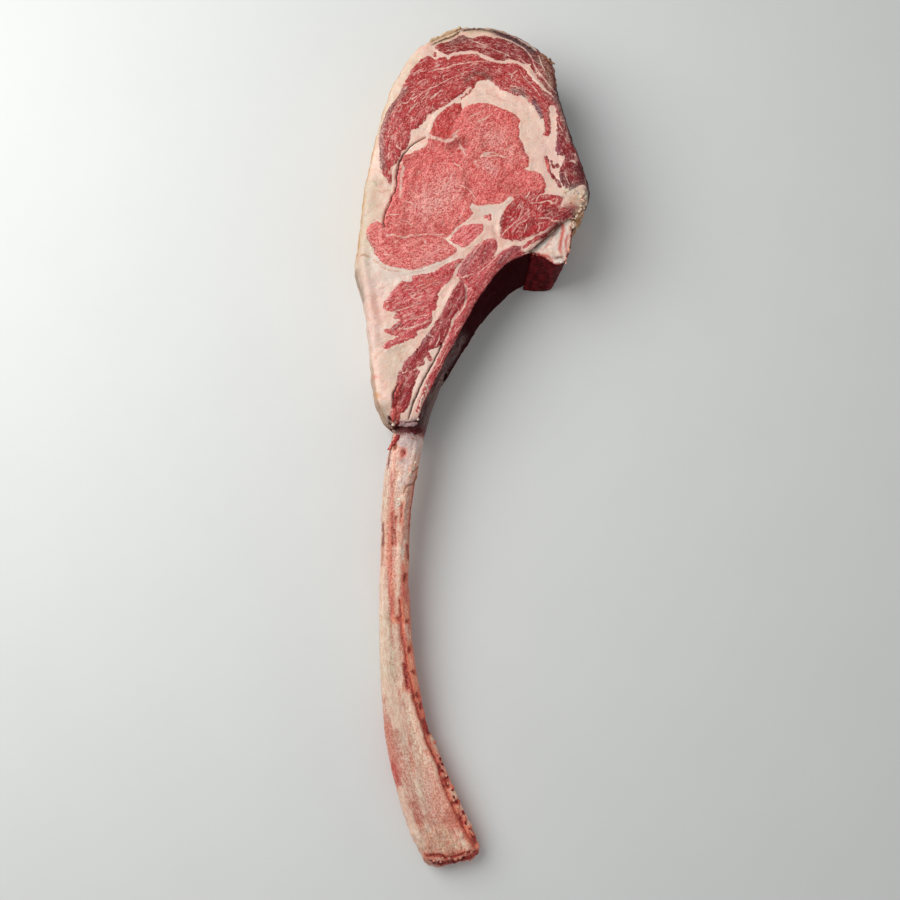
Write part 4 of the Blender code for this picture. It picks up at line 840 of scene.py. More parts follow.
class Finish:
    """A procedural material; its methods add one node each and return what comes out of it."""

    def __init__(self, name, **sockets):
        self.material = bpy.data.materials.new(name)
        self.material.use_nodes = True
        self.tree = self.material.node_tree
        self.shader = self.tree.nodes["Principled BSDF"]
        for socket, value in sockets.items():
            self.shader.inputs[socket.replace("_", " ")].default_value = value

    def add(self, kind, inputs=(), out=0, **settings):
        node = self.tree.nodes.new(kind)
        for key, value in settings.items():
            setattr(node, key, value)
        for key, value in dict(inputs).items():
            if isinstance(value, bpy.types.NodeSocket):
                self.tree.links.new(value, node.inputs[key])
            else:
                node.inputs[key].default_value = value
        return node.outputs[out]

    def link(self, value, socket):
        self.tree.links.new(value, self.shader.inputs[socket])

    def place(self):
        """Object coordinates in millimetres."""
        where = self.add("ShaderNodeTexCoord", out="Object")
        return self.stretched(where, (1 / MM,) * 3)

    def stretched(self, vector, scale):
        return self.add("ShaderNodeMapping", {"Vector": vector, "Scale": scale})

    def layer(self, name, out="Fac"):
        return self.add("ShaderNodeAttribute", out=out, attribute_name=name)

    def noise(self, vector, size, detail=3.0, roughness=0.55, distortion=0.0, out=0):
        return self.add("ShaderNodeTexNoise", {
            "Vector": vector, "Scale": 1.0 / size, "Detail": detail, "Roughness": roughness,
            "Distortion": distortion}, out)

    def cells(self, vector, size, feature="F1", out=0):
        return self.add("ShaderNodeTexVoronoi", {"Vector": vector, "Scale": 1.0 / size}, out,
                        feature=feature)

    def bent(self, vector, size, amount):
        """The vector moved about by noise."""
        shift = self.noise(vector, size, out="Color")
        return self.add("ShaderNodeVectorMath", {0: shift, 1: (amount,) * 3, 2: vector},
                        operation="MULTIPLY_ADD")

    def math(self, operation, *values):
        return self.add("ShaderNodeMath", dict(enumerate(values)), operation=operation)

    def span(self, value, low, high, to_low=0.0, to_high=1.0):
        return self.add("ShaderNodeMapRange", {
            "Value": value, "From Min": low, "From Max": high, "To Min": to_low,
            "To Max": to_high}, interpolation_type="SMOOTHSTEP")

    def mix(self, part, first, second, blend_type="MIX"):
        values = {0: part, 6: first, 7: second}
        for key in (6, 7):
            if isinstance(values[key], tuple) and len(values[key]) == 3:
                values[key] = rgba(values[key])
        return self.add("ShaderNodeMix", values, out=2, data_type="RGBA", blend_type=blend_type)

    def toned(self, colour, red, green, blue):
        """The colour with its red, green and blue multiplied."""
        return self.mix(1.0, colour, (red, green, blue, 1.0), "MULTIPLY")

    def mottled(self, colour, texture, spread, share, pale, dark):
        """The colour turned pale where the texture is high, and dark where it is low."""
        colour = self.mix(self.span(texture, 0.5, 0.5 + spread, 0.0, share), colour, pale)
        return self.mix(self.span(texture, 0.5, 0.5 - spread, 0.0, share), colour, dark)

    def centred(self, texture, width):
        """A texture of 0 to 1 spread evenly about nought."""
        return self.math("MULTIPLY_ADD", texture, width, -width / 2)

    def bump(self, height, strength, distance, normal=None):
        inputs = {"Height": height, "Strength": strength, "Distance": distance}
        if normal is not None:
            inputs["Normal"] = normal
        return self.add("ShaderNodeBump", inputs)


# ---- distances --------------------------------------------------------------------------------


def to_segments(points, starts, ends):
    """Distance from each point to the nearest segment, and on which side of it the point is."""
    best = np.full(len(points), np.inf)
    side = np.ones(len(points))
    for start, end in zip(starts, ends):
        along = end - start
        away = points - start
        part = np.clip(away @ along / max(1e-9, along @ along), 0.0, 1.0)
        distance = np.hypot(*(away - part[:, None] * along).T)
        nearer = distance < best
        best[nearer] = distance[nearer]
        cross = along[0] * away[:, 1] - along[1] * away[:, 0]
        side[nearer] = np.where(cross[nearer] < 0.0, -1.0, 1.0)
    return best, side


def to_outline(points, sides, far=FAR):
    """Millimetres inside an outline, negative outside it and never below minus far."""
    starts, ends = sides[:, 0], sides[:, 1]
    result = np.full(len(points), -far)
    low, high = sides.min((0, 1)) - far, sides.max((0, 1)) + far
    near = np.flatnonzero(((points > low) & (points < high)).all(1))
    here = points[near]
    distance, _ = to_segments(here, starts, ends)
    inside = np.zeros(len(here), bool)
    for start, end in zip(starts, ends):
        if start[1] == end[1]:
            continue
        between = (start[1] > here[:, 1]) != (end[1] > here[:, 1])
        crossing = start[0] + (here[:, 1] - start[1]) / (end[1] - start[1]) * (end[0] - start[0])
        inside ^= between & (here[:, 0] < crossing)
    result[near] = np.where(inside, distance, -np.minimum(distance, far))
    return result


def stroke_distance(points, row, reach):
    """Which points lie within reach of a row of points, how far from it, and on which side."""
    row = np.asarray(row, float)
    if len(row) == 1:
        row = np.vstack([row, row + 1e-3])
    near = np.flatnonzero(
        ((points > row.min(0) - reach) & (points < row.max(0) + reach)).all(1))
    distance, side = to_segments(points[near], row[:-1], row[1:])
    return near, distance, side


def to_strokes(points, strokes, far=6.0):
    """The nearest stroke: signed distance over its half width, and distance to its edge."""
    ratio = np.full(len(points), 50.0)
    gap = np.full(len(points), far)
    for half_width, row in strokes:
        near, distance, side = stroke_distance(points, row, far)
        nearer = distance - half_width < gap[near]
        chosen = near[nearer]
        gap[chosen] = distance[nearer] - half_width
        ratio[chosen] = (distance * side)[nearer] / half_width
    return ratio, gap


def painted(tint, points, strokes, kinds, share=1.0):
    """Lays soft strokes of colour over the tint, in their order."""
    share = np.broadcast_to(share, len(points))
    for kind, colour, half_width, strength, row in strokes:
        if kind not in kinds:
            continue
        near, distance, _ = stroke_distance(points, row, 2.6 * half_width)
        weight = share[near] * strength * np.exp(-(distance / half_width) ** 2 * 0.7)
        tint[near] += (linear(colour) - tint[near]) * weight[:, None]
    return tint


def towards(tint, colour, share):
    """The tint moved towards a colour, by a share of its own at every place."""
    return tint + (linear(colour) - tint) * share[:, None]


# ---- meshes -----------------------------------------------------------------------------------


def node_copy(name):
    """A bmesh of a CAD node with its triangles joined."""
    bm = bmesh.new()
    bm.from_mesh(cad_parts[name].data)
    bmesh.ops.remove_doubles(bm, verts=bm.verts, dist=1e-6)
    bm.normal_update()
    return bm


def cut_sides(name, height):
    """The outline of a node at a height, as an array of segments in millimetres."""
    bm = node_copy(name)
    cut = bmesh.ops.bisect_plane(
        bm, geom=[*bm.faces, *bm.edges, *bm.verts], plane_co=(0, 0, height * MM),
        plane_no=(0, 0, 1))["geom_cut"]
    edges = [item for item in cut if isinstance(item, bmesh.types.BMEdge)]
    sides = [[vert.co.xy / MM for vert in edge.verts] for edge in edges]
    bm.free()
    return np.array(sides, float).reshape(-1, 2, 2)


def loop_sides(row):
    """The segments of a closed row of points."""
    row = np.asarray(row, float)
    return np.stack([row, np.roll(row, -1, 0)], 1)


def add_piece(name, bm):
    mesh = bpy.data.meshes.new(name)
    bm.to_mesh(mesh)
    bm.free()
    piece = bpy.data.objects.new(name, mesh)
    bpy.context.scene.collection.objects.link(piece)
    return piece


def remeshed(name, bm, voxel):
    """One closed even skin around everything in a bmesh."""
    piece = add_piece(name, bm)
    modifier = piece.modifiers.new("skin", "REMESH")
    modifier.mode = "VOXEL"
    modifier.voxel_size = voxel
    graph = bpy.context.evaluated_depsgraph_get()
    graph.update()
    skin = bpy.data.meshes.new_from_object(piece.evaluated_get(graph))
    piece.modifiers.clear()
    piece.data = skin
    return piece


def reworked(piece, change):
    """Runs a change on the piece's mesh as a bmesh."""
    bm = bmesh.new()
    bm.from_mesh(piece.data)
    change(bm)
    bm.to_mesh(piece.data)
    bm.free()


def smoothed(bm, verts, times):
    for _ in range(times):
        bmesh.ops.smooth_vert(bm, verts=verts, factor=0.5, use_axis_x=True, use_axis_y=True,
                              use_axis_z=True)


def read_points(mesh):
    """Vertex places in millimetres, and vertex normals."""
    count = len(mesh.vertices)
    places, normals = np.empty(count * 3, np.float32), np.empty(count * 3, np.float32)
    mesh.vertices.foreach_get("co", places)
    mesh.vertex_normals.foreach_get("vector", normals)
    return places.reshape(-1, 3).astype(float) / MM, normals.reshape(-1, 3).astype(float)


def write_points(mesh, places, low=None, high=None):
    """Puts vertices in place, kept within the given corners in metres."""
    places = places * MM
    if low is not None:
        places = np.clip(places, np.array(low), np.array(high))
    mesh.vertices.foreach_set("co", places.astype(np.float32).ravel())
    mesh.update()


def put_relief(mesh, places, normals, move, layers):
    """Moves each vertex along its normal, inside the CAD's box, and stores what a finish reads."""
    write_points(mesh, places + normals * move[:, None], *CAD_BOX)
    for name, values in layers.items():
        put_layer(mesh, name, values)


def put_layer(mesh, name, values):
    values = np.asarray(values, np.float32)
    if values.ndim == 1:
        mesh.attributes.new(name, "FLOAT", "POINT").data.foreach_set("value", values)
        return
    mesh.attributes.new(name, "FLOAT_VECTOR", "POINT").data.foreach_set("vector", values.ravel())


def tree_of(points):
    """A tree that finds the nearest of the points."""
    tree = kdtree.KDTree(len(points))
    for i, point in enumerate(points):
        tree.insert(point, i)
    tree.balance()
    return tree


def ripple(places, size, shift=0.0):
    """Smooth noise of about -1 to 1 at every place; size is in millimetres."""
    scaled = places / np.asarray(size, float) + shift
    return np.array([noise.noise(point) for point in scaled.tolist()]) * 1.6


def wander(places, size, amount):
    """The places moved about by smooth noise."""
    scaled = (places / size).tolist()
    return places + amount * np.array([noise.noise_vector(point) for point in scaled])


def finish_piece(piece, finish, nodes, aslant=None):
    """Finishes, slot and place in the frame; steep faces get the finish named aslant."""
    mesh = piece.data
    mesh.materials.clear()
    mesh.materials.append(finish.material)
    if aslant:
        mesh.materials.append(aslant.material)
        normals = np.empty(len(mesh.polygons) * 3, np.float32)
        mesh.polygons.foreach_get("normal", normals)
        steep = (np.abs(normals[2::3]) < 0.6).astype(np.int32)
        mesh.polygons.foreach_set("material_index", steep)
    mesh.shade_smooth()
    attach(piece, "root")
    if nodes:
        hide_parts(*nodes)


# ---- the meat ---------------------------------------------------------------------------------


def meat_skin(voxel):
    """Fat and muscles under one skin, with finer faces on the upper cut."""
    bm = bmesh.new()
    for name in ["fat_layer", *MUSCLES]:
        part = node_copy(name)
        if name != "fat_layer":
            for vert in part.verts:
                vert.co += vert.normal * FUSING * MM
        loose = bpy.data.meshes.new("part")
        part.to_mesh(loose)
        part.free()
        bm.from_mesh(loose)
        bpy.data.meshes.remove(loose)
    piece = remeshed("steak_meat", bm, voxel)

    def refine(bm):
        smoothed(bm, bm.verts, times=2)
        bm.normal_update()
        upper = {edge for face in bm.faces for edge in face.edges
                 if face.normal.z > 0.35 and face.calc_center_median().z > RIM * MM}
        bmesh.ops.subdivide_edges(bm, edges=list(upper), cuts=1, use_grid_fill=True)
        smoothed(bm, [vert for vert in bm.verts if vert.co.z > (RIM - 2.0) * MM], times=2)
        high = [vert for vert in bm.verts if vert.co.z > RIM * MM and vert.normal.z > 0.3]
        _, gap = to_strokes(np.array([vert.co.xy / MM for vert in high]), SLITS, far=3.0)
        near = {vert for vert, distance in zip(high, gap) if distance < 1.0}
        finer = {edge for vert in near for face in vert.link_faces for edge in face.edges}
        bmesh.ops.subdivide_edges(bm, edges=list(finer), cuts=1, use_grid_fill=True)

    reworked(piece, refine)
    return piece


def raised_by_the_chine(places):
    """The upper cut runs level right up to the chine, without the rim that it has elsewhere."""
    starts, ends = cut_sides("chine_bone", UPPER_CUT).swapaxes(0, 1)
    flat = places[:, :2]
    low, high = starts.min(0) - CHINE_REACH, starts.max(0) + CHINE_REACH
    near = np.flatnonzero(((flat > low) & (flat < high)).all(1) & (places[:, 2] > RIM))
    here = flat[near]
    distance, slope_x, slope_y = (to_segments(here + shift, starts, ends)[0]
                                  for shift in ((0.0, 0.0), (0.05, 0.0), (0.0, 0.05)))
    slope = np.stack([slope_x - distance, slope_y - distance], 1)
    slope /= np.maximum(1e-6, np.hypot(*slope.T))[:, None]
    upper = blend(places[near, 2], 41.0, 45.0)
    closer = np.clip(distance - CHINE_GAP, 0.0, 2.6 * blend(distance, 8.0, 3.0) * upper)
    places[near, 2] += np.maximum(0.0, TOP - places[near, 2]) * blend(distance, 8.0, 2.0) * upper
    places[near, :2] -= slope * closer[:, None]
    return places


def fibre_places(places, angle, stretch):
    """Coordinates along and across a muscle's fibres."""
    if angle is None:
        away = places[:, :2] - np.array(EYE_MIDDLE)
        radius = np.hypot(*away.T)
        turn = np.arctan2(away[:, 1], away[:, 0])
        along, across = turn * 60.0 + radius * 0.35, radius
    else:
        cosine, sine = math.cos(math.radians(angle)), math.sin(math.radians(angle))
        along = places[:, 0] * cosine + places[:, 1] * sine
        across = places[:, 1] * cosine - places[:, 0] * sine
    return np.stack([along / stretch, across, places[:, 2] / 2.0], 1)


def meat_layers(places, side, fat_colour):
    """All that the meat's finish reads: where lean and fat lie, colours, veins and slits."""
    count = len(places)
    moved = wander(wander(wander(places, 14.0, 0.4), 3.5, 0.4), 1.3, 0.3)
    flat = moved[:, :2]
    height = np.clip((places[:, 2] - LOWER_CUT) / (UPPER_CUT - LOWER_CUT), 0.0, 1.0)
    lean = np.full(count, -FAR)
    tint = np.tile(linear((190, 92, 88)), (count, 1))
    marble = np.full(count, 0.5)
    fibres = fibre_places(places, 45, 2.0)
    for name, (colour, flecks, angle, stretch) in MUSCLES.items():
        upper = to_outline(flat, loop_sides(LEAN_AREAS[name])) + LEAN_BIAS
        lower = -FAR
        if name not in OVER_THE_RIB:
            lower = to_outline(flat, cut_sides(name, LOWER_CUT))
        depth = lower + (upper - lower) * height
        mine = depth > lean
        lean = np.maximum(lean, depth)
        tint[mine] = linear(colour)
        marble[mine] = flecks
        fibres[mine] = fibre_places(places[mine], angle, stretch)
    _, red_gap = to_strokes(flat, RED_ISLANDS)
    _, fat_gap = to_strokes(flat, FAT_ISLANDS)
    lean = np.minimum(np.maximum(lean, -red_gap), fat_gap)
    vein, vein_gap = to_strokes(flat, VEINS)
    slit, slit_gap = to_strokes(flat, SLITS)
    wall_tint, wall_lean = wall_layers(flat)
    share = side[:, None]
    fat_tint = np.tile(fat_colour, (count, 1))
    fat_tint += (wall_tint - fat_tint) * share
    tint += (wall_tint - tint) * share
    upper_cut = blend(places[:, 2], 22.0, 36.0)
    plain = tint.sum(1)
    tint = painted(tint, flat, PAINT, ("lean", "both"), upper_cut)
    tint = painted(tint, flat, PAINT, ("wall",), upper_cut * side)
    marble *= np.clip(tint.sum(1) / plain, 0.0, 1.0)
    return {
        "lean": lean + (wall_lean - lean) * side,
        "tint": tint,
        "fat_tint": painted(fat_tint, flat, PAINT, ("fat", "both"), upper_cut),
        "marble": marble * (1.0 - side),
        "fibres": fibres,
        "vein": vein,
        "vein_gap": vein_gap + 6.0 * side,
        "slit": slit,
        "slit_gap": slit_gap + 6.0 * side,
        "side": side,
    }


def wall_layers(flat):
    """Colour and leanness of the side wall at every place, blended between its zones."""
    total = np.zeros(len(flat))
    tint = np.zeros((len(flat), 3))
    lean = np.zeros(len(flat))
    for colour, depth, row in WALL_ZONES:
        row = np.asarray(row, float)
        distance, _ = to_segments(flat, row[:-1], row[1:])
        weight = 1.0 / (distance + 6.0) ** 4
        total += weight
        tint += weight[:, None] * linear(colour)
        lean += weight * depth
    return tint / total[:, None], lean / total


def meat_relief(places, layers):
    """How far each vertex moves along its normal, in millimetres."""
    lean, side = layers["lean"], layers["side"]
    upper = np.where(places[:, 2] > 26.0, 1.0, 0.35)
    inside = blend(lean, 0.0, 1.5)
    cut = 0.35 * blend(lean, 0.2, 2.6) - 0.22 * np.exp(-(lean / 0.7) ** 2) - 0.35
    cut += 0.3 * ripple(places, 24.0) + 0.3 * ripple(places, 8.0, 3.1)
    cut += 0.2 * inside * ripple(layers["fibres"], (3.0, 2.6, 4.0), 2.3)
    cut += 0.16 * inside * ripple(layers["fibres"], (2.0, 1.3, 3.0), 7.7)
    cut += 0.14 * (1.0 - inside) * ripple(places, 3.6, 5.2)
    cut -= 1.3 * np.exp(-(np.maximum(layers["slit_gap"] + 0.1, 0.0) / 0.45) ** 2)
    wall = 0.5 * ripple(places, (9.0, 9.0, 22.0), 1.7) + 0.3 * ripple(places, (4.0, 4.0, 9.0), 2.9)
    wall += 0.15 * ripple(places, 1.8, 6.4) - 0.3
    return cut * upper * (1.0 - side) + wall * side


def meat_finish(name, shine, vein_colour):
    """The finish of the cuts, or with little shine that of the side wall, which is seen aslant."""
    f = Finish(name, Subsurface_Weight=0.3, Subsurface_Radius=(1.0, 0.3, 0.18),
               Subsurface_Scale=0.002, Coat_Weight=0.3 * shine, Coat_Roughness=0.14,
               Specular_IOR_Level=0.3 * shine, IOR=1.1 + 0.4 * shine)
    place = f.place()
    fibres = f.layer("fibres", "Vector")
    lean, side = f.layer("lean"), f.layer("side")

    edge = f.math("ADD", lean, f.centred(f.noise(place, 2.0, 5.0, 0.7), 3.4))
    lean_part = f.span(edge, -0.25, 0.1)

    # Lean: uneven colour, bundles of fibre in dark seams or pale sheaths, grain, flecks, and pale
    # specks that are partly painted wet sheen.
    broad = f.noise(place, 22.0, 3.0, 0.55)
    patchy = f.noise(place, 7.0, 4.0, 0.65)
    waving = f.bent(fibres, 3.0, 2.6)
    bundle = f.cells(waving, 3.2, out="Color")
    seam = f.cells(waving, 3.2, "DISTANCE_TO_EDGE")
    strand = f.noise(f.stretched(fibres, (0.5, 1.0, 1.0)), 1.5, 4.0, 0.7, 0.5)
    grain = f.noise(fibres, 1.1, 3.0, 0.75, 0.3)
    fine = f.noise(place, 0.9, 2.0, 0.8)
    tint = f.layer("tint", "Color")
    marble = f.layer("marble")
    dark = f.toned(tint, 0.62, 0.34, 0.34)
    crimson = f.toned(tint, 0.66, 0.16, 0.2)
    pale = f.toned(tint, 1.3, 2.1, 2.1)
    red = f.mix(f.span(broad, 0.56, 0.34, 0.0, 0.5), tint, dark)
    red = f.mix(f.span(broad, 0.5, 0.68, 0.0, 0.45), red, pale)
    red = f.mix(f.span(patchy, 0.52, 0.36, 0.0, 0.75), red, crimson)
    red = f.mix(f.span(patchy, 0.5, 0.64, 0.0, 0.4), red, pale)
    red = f.mix(f.span(bundle, 0.5, 0.7, 0.0, 0.5), red, pale)
    red = f.mix(f.span(bundle, 0.5, 0.3, 0.0, 0.7), red, crimson)
    where = f.noise(place, 4.5, 3.0, 0.6)
    deep = f.math("MULTIPLY", f.span(seam, 0.18, 0.04), f.span(where, 0.46, 0.56, 0.0, 0.8))
    sheath = f.math("MULTIPLY", f.span(seam, 0.14, 0.03), f.span(where, 0.48, 0.38))
    red = f.mix(deep, red, crimson)
    red = f.mix(f.math("MULTIPLY", sheath, marble), red, pale)
    for texture in (strand, grain, fine):
        red = f.mottled(red, texture, 0.1, 0.75, pale, crimson)

    fat_and_sheen = None
    for size, width, sparse in ((5.5, 0.02, 0.44), (2.8, 0.03, 0.48)):
        thread = f.noise(fibres, size, 4.0, 0.62, 1.2)
        line = f.span(f.math("ABSOLUTE", f.math("SUBTRACT", thread, 0.5)), width, width / 4)
        line = f.math("MULTIPLY", line, f.span(f.noise(place, size, 3.0), sparse, sparse + 0.14))
        fat_and_sheen = line if fat_and_sheen is None else f.math("MAXIMUM", fat_and_sheen, line)
    flecks = f.span(f.noise(fibres, 1.3, 3.0, 0.6, 1.0), 0.6, 0.66)
    # crumbs: pale specks of fat that also stand in as painted glints of wet sheen
    crumbs = f.span(f.noise(place, 0.9, 2.0, 0.6), 0.64, 0.71)
    fat_and_sheen = f.math("MAXIMUM", fat_and_sheen, f.math("MAXIMUM", flecks, crumbs))
    amount = f.math("MULTIPLY", f.math("MULTIPLY_ADD", marble, 0.5, 0.25),
                    f.math("SUBTRACT", 1.0, side))
    red = f.mix(f.math("MULTIPLY", fat_and_sheen, amount), red, (250, 204, 190))

    # Fat: lobules with faint pink borders, soft blotches, a little sinew and crumb.
    fat_tint = f.layer("fat_tint", "Color")
    lobes = f.cells(place, 2.4, "DISTANCE_TO_EDGE")
    pinker = f.toned(fat_tint, 0.96, 0.7, 0.66)
    lighter = f.toned(fat_tint, 1.06, 1.16, 1.16)
    darker = f.toned(fat_tint, 0.66, 0.46, 0.4)
    fat = f.mix(f.span(f.noise(place, 6.0, 4.0), 0.48, 0.7, 0.0, 0.6), fat_tint, pinker)
    fat = f.mix(f.span(f.noise(place, 2.0, 4.0, 0.65), 0.44, 0.66, 0.0, 0.6), fat, lighter)
    fat = f.mix(f.span(f.noise(place, 0.9, 3.0, 0.7), 0.45, 0.3, 0.0, 0.4), fat, darker)
    fat = f.mix(f.span(lobes, 0.09, 0.01, 0.0, 0.2), fat, pinker)
    rind = f.mix(f.span(f.noise(place, 5.0, 5.0, 0.7), 0.38, 0.68), fat_tint, darker)
    fat = f.mix(f.math("MULTIPLY", side, 0.5), fat, rind)

    colour = f.mix(lean_part, fat, red)
    rough_vein = f.math("MULTIPLY_ADD", f.noise(place, 1.8, 4.0, 0.65), 2.8, -1.25)
    vein = f.math("ADD", f.math("ABSOLUTE", f.layer("vein")), rough_vein)
    vein_part = f.math("MULTIPLY", f.span(vein, 1.1, 0.5), f.span(f.layer("vein_gap"), 0.8, 0.3))
    faint = f.span(f.noise(place, 3.2, 3.0, 0.6), 0.4, 0.56, 0.45, 0.95)
    colour = f.mix(f.math("MULTIPLY", vein_part, faint), colour, (*vein_colour, 1.0))
    # Slits: dark meat and painted shade in the narrow cuts.
    slit = f.math("ABSOLUTE", f.layer("slit"))
    slit_part = f.math("MULTIPLY", f.span(slit, 1.2, 0.7), f.span(f.layer("slit_gap"), 0.8, 0.3))
    colour = f.mix(f.math("MULTIPLY", slit_part, 0.9), colour, (62, 18, 16))
    f.link(colour, "Base Color")

    rough = f.span(f.noise(place, 1.6, 3.0), 0.3, 0.7, 0.34, 0.58)
    rough = f.math("ADD", rough, f.math("MULTIPLY", lean_part, -0.04))
    f.link(f.math("ADD", rough, f.math("MULTIPLY", side, 0.25)), "Roughness")
    relief = f.math("ADD", f.math("MULTIPLY", grain, lean_part), f.math("MULTIPLY", fine, 0.6))
    relief = f.math("SUBTRACT", relief, f.math("MAXIMUM", slit_part, f.math("MULTIPLY", deep, 0.5)))
    f.link(f.bump(relief, 0.6, 0.5 * MM), "Normal")
    return f


# ---- the rib ----------------------------------------------------------------------------------


def along_the_rib(places, axis):
    """Middle and half size of the rib's section at every place, across (0) or in height (2)."""
    steps = np.arange(places[:, 1].min(), places[:, 1].max(), RIB_STEP)
    ends = [(places[near, axis].min(), places[near, axis].max())
            for near in (np.abs(places[:, 1] - start) < 4.0 for start in steps)]
    low, high = np.array(ends).T
    return (np.interp(places[:, 1], steps, (low + high) / 2),
            np.interp(places[:, 1], steps, (high - low) / 2))


def flattened_rib(places):
    """The rib with a flatter top and fuller shoulders where it is bare."""
    middle, half = along_the_rib(places, 0)
    centre, rise = along_the_rib(places, 2)
    across, up = (places[:, 0] - middle) / half, (places[:, 2] - centre) / rise
    bare = blend(places[:, 1], 2.0, -14.0)
    before_the_end = blend(places[:, 1], -262.0, -250.0)
    fuller = np.clip((across ** 4 + up ** 4) ** -0.25, 1.0, 1.16)
    fuller = 1.0 + (fuller - 1.0) * blend(up, -0.2, 0.3) * bare * before_the_end
    return np.stack([middle + across * half * fuller, places[:, 1],
                     centre + up * rise * fuller], 1)


def rib_layers(places, normals, rib_colour):
    """All that the rib's finish reads; its hidden part darkens towards the chine, into painted shade
    in the hollow there, and the bare rib's side that faces away from the lamp gets painted light.
    """
    moved = wander(wander(places, 12.0, 0.6), 2.5, 0.5)
    flat = moved[:, :2]
    middle, half = along_the_rib(places, 0)
    across = places[:, 0] - middle
    under = blend(-normals[:, 2], 0.0, 0.6)
    share = np.clip(across / half, -1.0, 1.0)
    tint = np.tile(rib_colour, (len(places), 1))
    tint = towards(tint, (230, 200, 182), 0.6 * blend(-share, 0.1, 0.9))
    # the right side: pinker raw meat, made lighter too as painted light where it faces away from the
    # lamp
    tint = towards(tint, (226, 140, 118), 0.7 * blend(share, 0.2, 0.95))
    tint = towards(tint, (196, 134, 114), 0.7 * under)
    inside = blend(places[:, 1], 2.0, 6.0)
    tint = towards(tint, (74, 50, 48), inside)
    # Painted shade: near the chine the hidden rib goes as dark as the shaded hollow wall around it.
    tint = towards(tint, (58, 5, 10), inside * blend(places[:, 1], 24.0, 44.0))
    tint = painted(tint, flat, BONE_PAINT, ("bone",))
    # "turned" marks painted light: the bare rib's side that faces away from the lamp
    layers = {"tint": tint, "fibres": np.stack([places[:, 1], across, places[:, 2]], 1),
              "turned": blend(share, -0.1, 0.8) * (1.0 - inside)}
    for name, strokes in (("blood", BONE_BLOOD), ("raw", BONE_RAW), ("pale", BONE_PALE),
                          ("tendon", BONE_TENDON), ("slit", BONE_SLITS)):
        _, gap = to_strokes(flat, strokes)
        layers[name] = -gap - 3.0 * under
    return layers


def rib_relief(places, layers):
    fibres = layers["fibres"]
    move = 0.3 * ripple(places, 14.0) + 0.26 * ripple(fibres, (18.0, 2.4, 2.4), 4.4)
    move += 0.14 * ripple(fibres, (5.0, 1.3, 1.3), 6.1) + 0.1 * ripple(places, 2.2, 8.8) - 0.35
    move -= 0.8 * blend(layers["blood"], -0.7, 0.5)
    move += 0.35 * blend(layers["pale"], -1.5, 1.0)
    move += 0.5 * blend(layers["tendon"], -0.8, 0.6)
    move -= 0.3 * blend(layers["slit"], -0.3, 0.2)
    end = blend(-places[:, 1], 225.0, 255.0)
    move += end * (0.5 * ripple(places, 3.6, 1.2) + 0.25 * ripple(places, 1.7, 9.3))
    return move


def rib_finish():
    f = Finish("scraped_bone", Subsurface_Weight=0.2, Subsurface_Radius=(1.0, 0.4, 0.25),
               Subsurface_Scale=0.0015, Coat_Weight=0.05, Coat_Roughness=0.2,
               Specular_IOR_Level=0.3, IOR=1.4)
    place, fibres = f.place(), f.layer("fibres", "Vector")
    streak = f.noise(f.stretched(fibres, (0.11, 1.0, 1.0)), 1.2, 4.0, 0.7, 0.25)
    fine = f.noise(f.stretched(fibres, (0.3, 1.0, 1.0)), 1.0, 3.0, 0.75)
    speck = f.noise(place, 1.2, 3.0, 0.75)
    patchy = f.noise(f.stretched(fibres, (0.4, 1.0, 1.0)), 5.0, 4.0, 0.6)
    ragged = f.math("ADD", f.centred(streak, 8.0), f.centred(speck, 5.0))
    ragged = f.math("ADD", ragged, f.centred(patchy, 7.0))

    def part(name, low, high, most=1.0):
        return f.span(f.math("ADD", f.layer(name), ragged), low, high, 0.0, most)

    calm = f.span(f.layer("pale"), -2.5, 1.5, 0.9, 0.4)

    def textured(colour):
        """The colour with streaks, grain and specks lighter and darker than it."""
        pale = f.toned(colour, 1.2, 1.36, 1.44)
        dark = f.toned(colour, 0.84, 0.58, 0.52)
        for texture, share in ((patchy, 0.35), (streak, 0.9), (fine, 0.9), (speck, 0.8)):
            share = f.math("MULTIPLY", calm, share)
            colour = f.mottled(colour, texture, 0.07, share, pale, dark)
        return colour

    colour = textured(f.layer("tint", "Color"))
    raw = textured(f.mix(f.span(patchy, 0.42, 0.58), (232, 104, 88), (248, 172, 140)))
    colour = f.mix(part("raw", -1.2, 2.6, 0.66), colour, raw)
    cream = f.mix(f.span(fine, 0.4, 0.6), (230, 192, 168), (246, 222, 202))
    colour = f.mix(part("pale", -1.6, 1.6, 0.75), colour, cream)
    tendon = f.mix(f.span(patchy, 0.42, 0.6), (226, 206, 198), (192, 170, 172))
    tendon = f.mix(f.span(speck, 0.5, 0.36, 0.0, 0.6), tendon, (188, 128, 118))
    colour = f.mix(part("tendon", -1.4, 2.0, 0.72), colour, tendon)
    halo = f.mix(f.span(speck, 0.42, 0.58), (190, 60, 52), (240, 150, 116))
    colour = f.mix(part("blood", -2.4, 0.6, 0.75), colour, halo)
    clot = f.mix(f.span(fine, 0.42, 0.6), (96, 16, 20), (190, 56, 50))
    blood = f.math("ADD", f.layer("blood"), f.math("MULTIPLY_ADD", speck, 8.0, -4.2))
    colour = f.mix(f.span(blood, -0.5, 0.6, 0.0, 0.95), colour, clot)
    colour = f.mix(f.span(f.layer("slit"), -0.4, 0.1, 0.0, 0.8), colour, (150, 96, 66))
    # Painted light: the side that faces away from the lamp is lightened.
    painted_light = f.toned(colour, 1.25, 1.25, 1.22)
    colour = f.mix(f.layer("turned"), colour, painted_light)
    f.link(colour, "Base Color")
    f.link(f.span(patchy, 0.3, 0.7, 0.36, 0.6), "Roughness")
    relief = f.math("ADD", streak, f.math("MULTIPLY", fine, 0.7))
    relief = f.math("ADD", relief, f.math("MULTIPLY", speck, 0.5))
    f.link(f.bump(relief, 0.5, 0.6 * MM), "Normal")
    return f


# ---- the chine --------------------------------------------------------------------------------


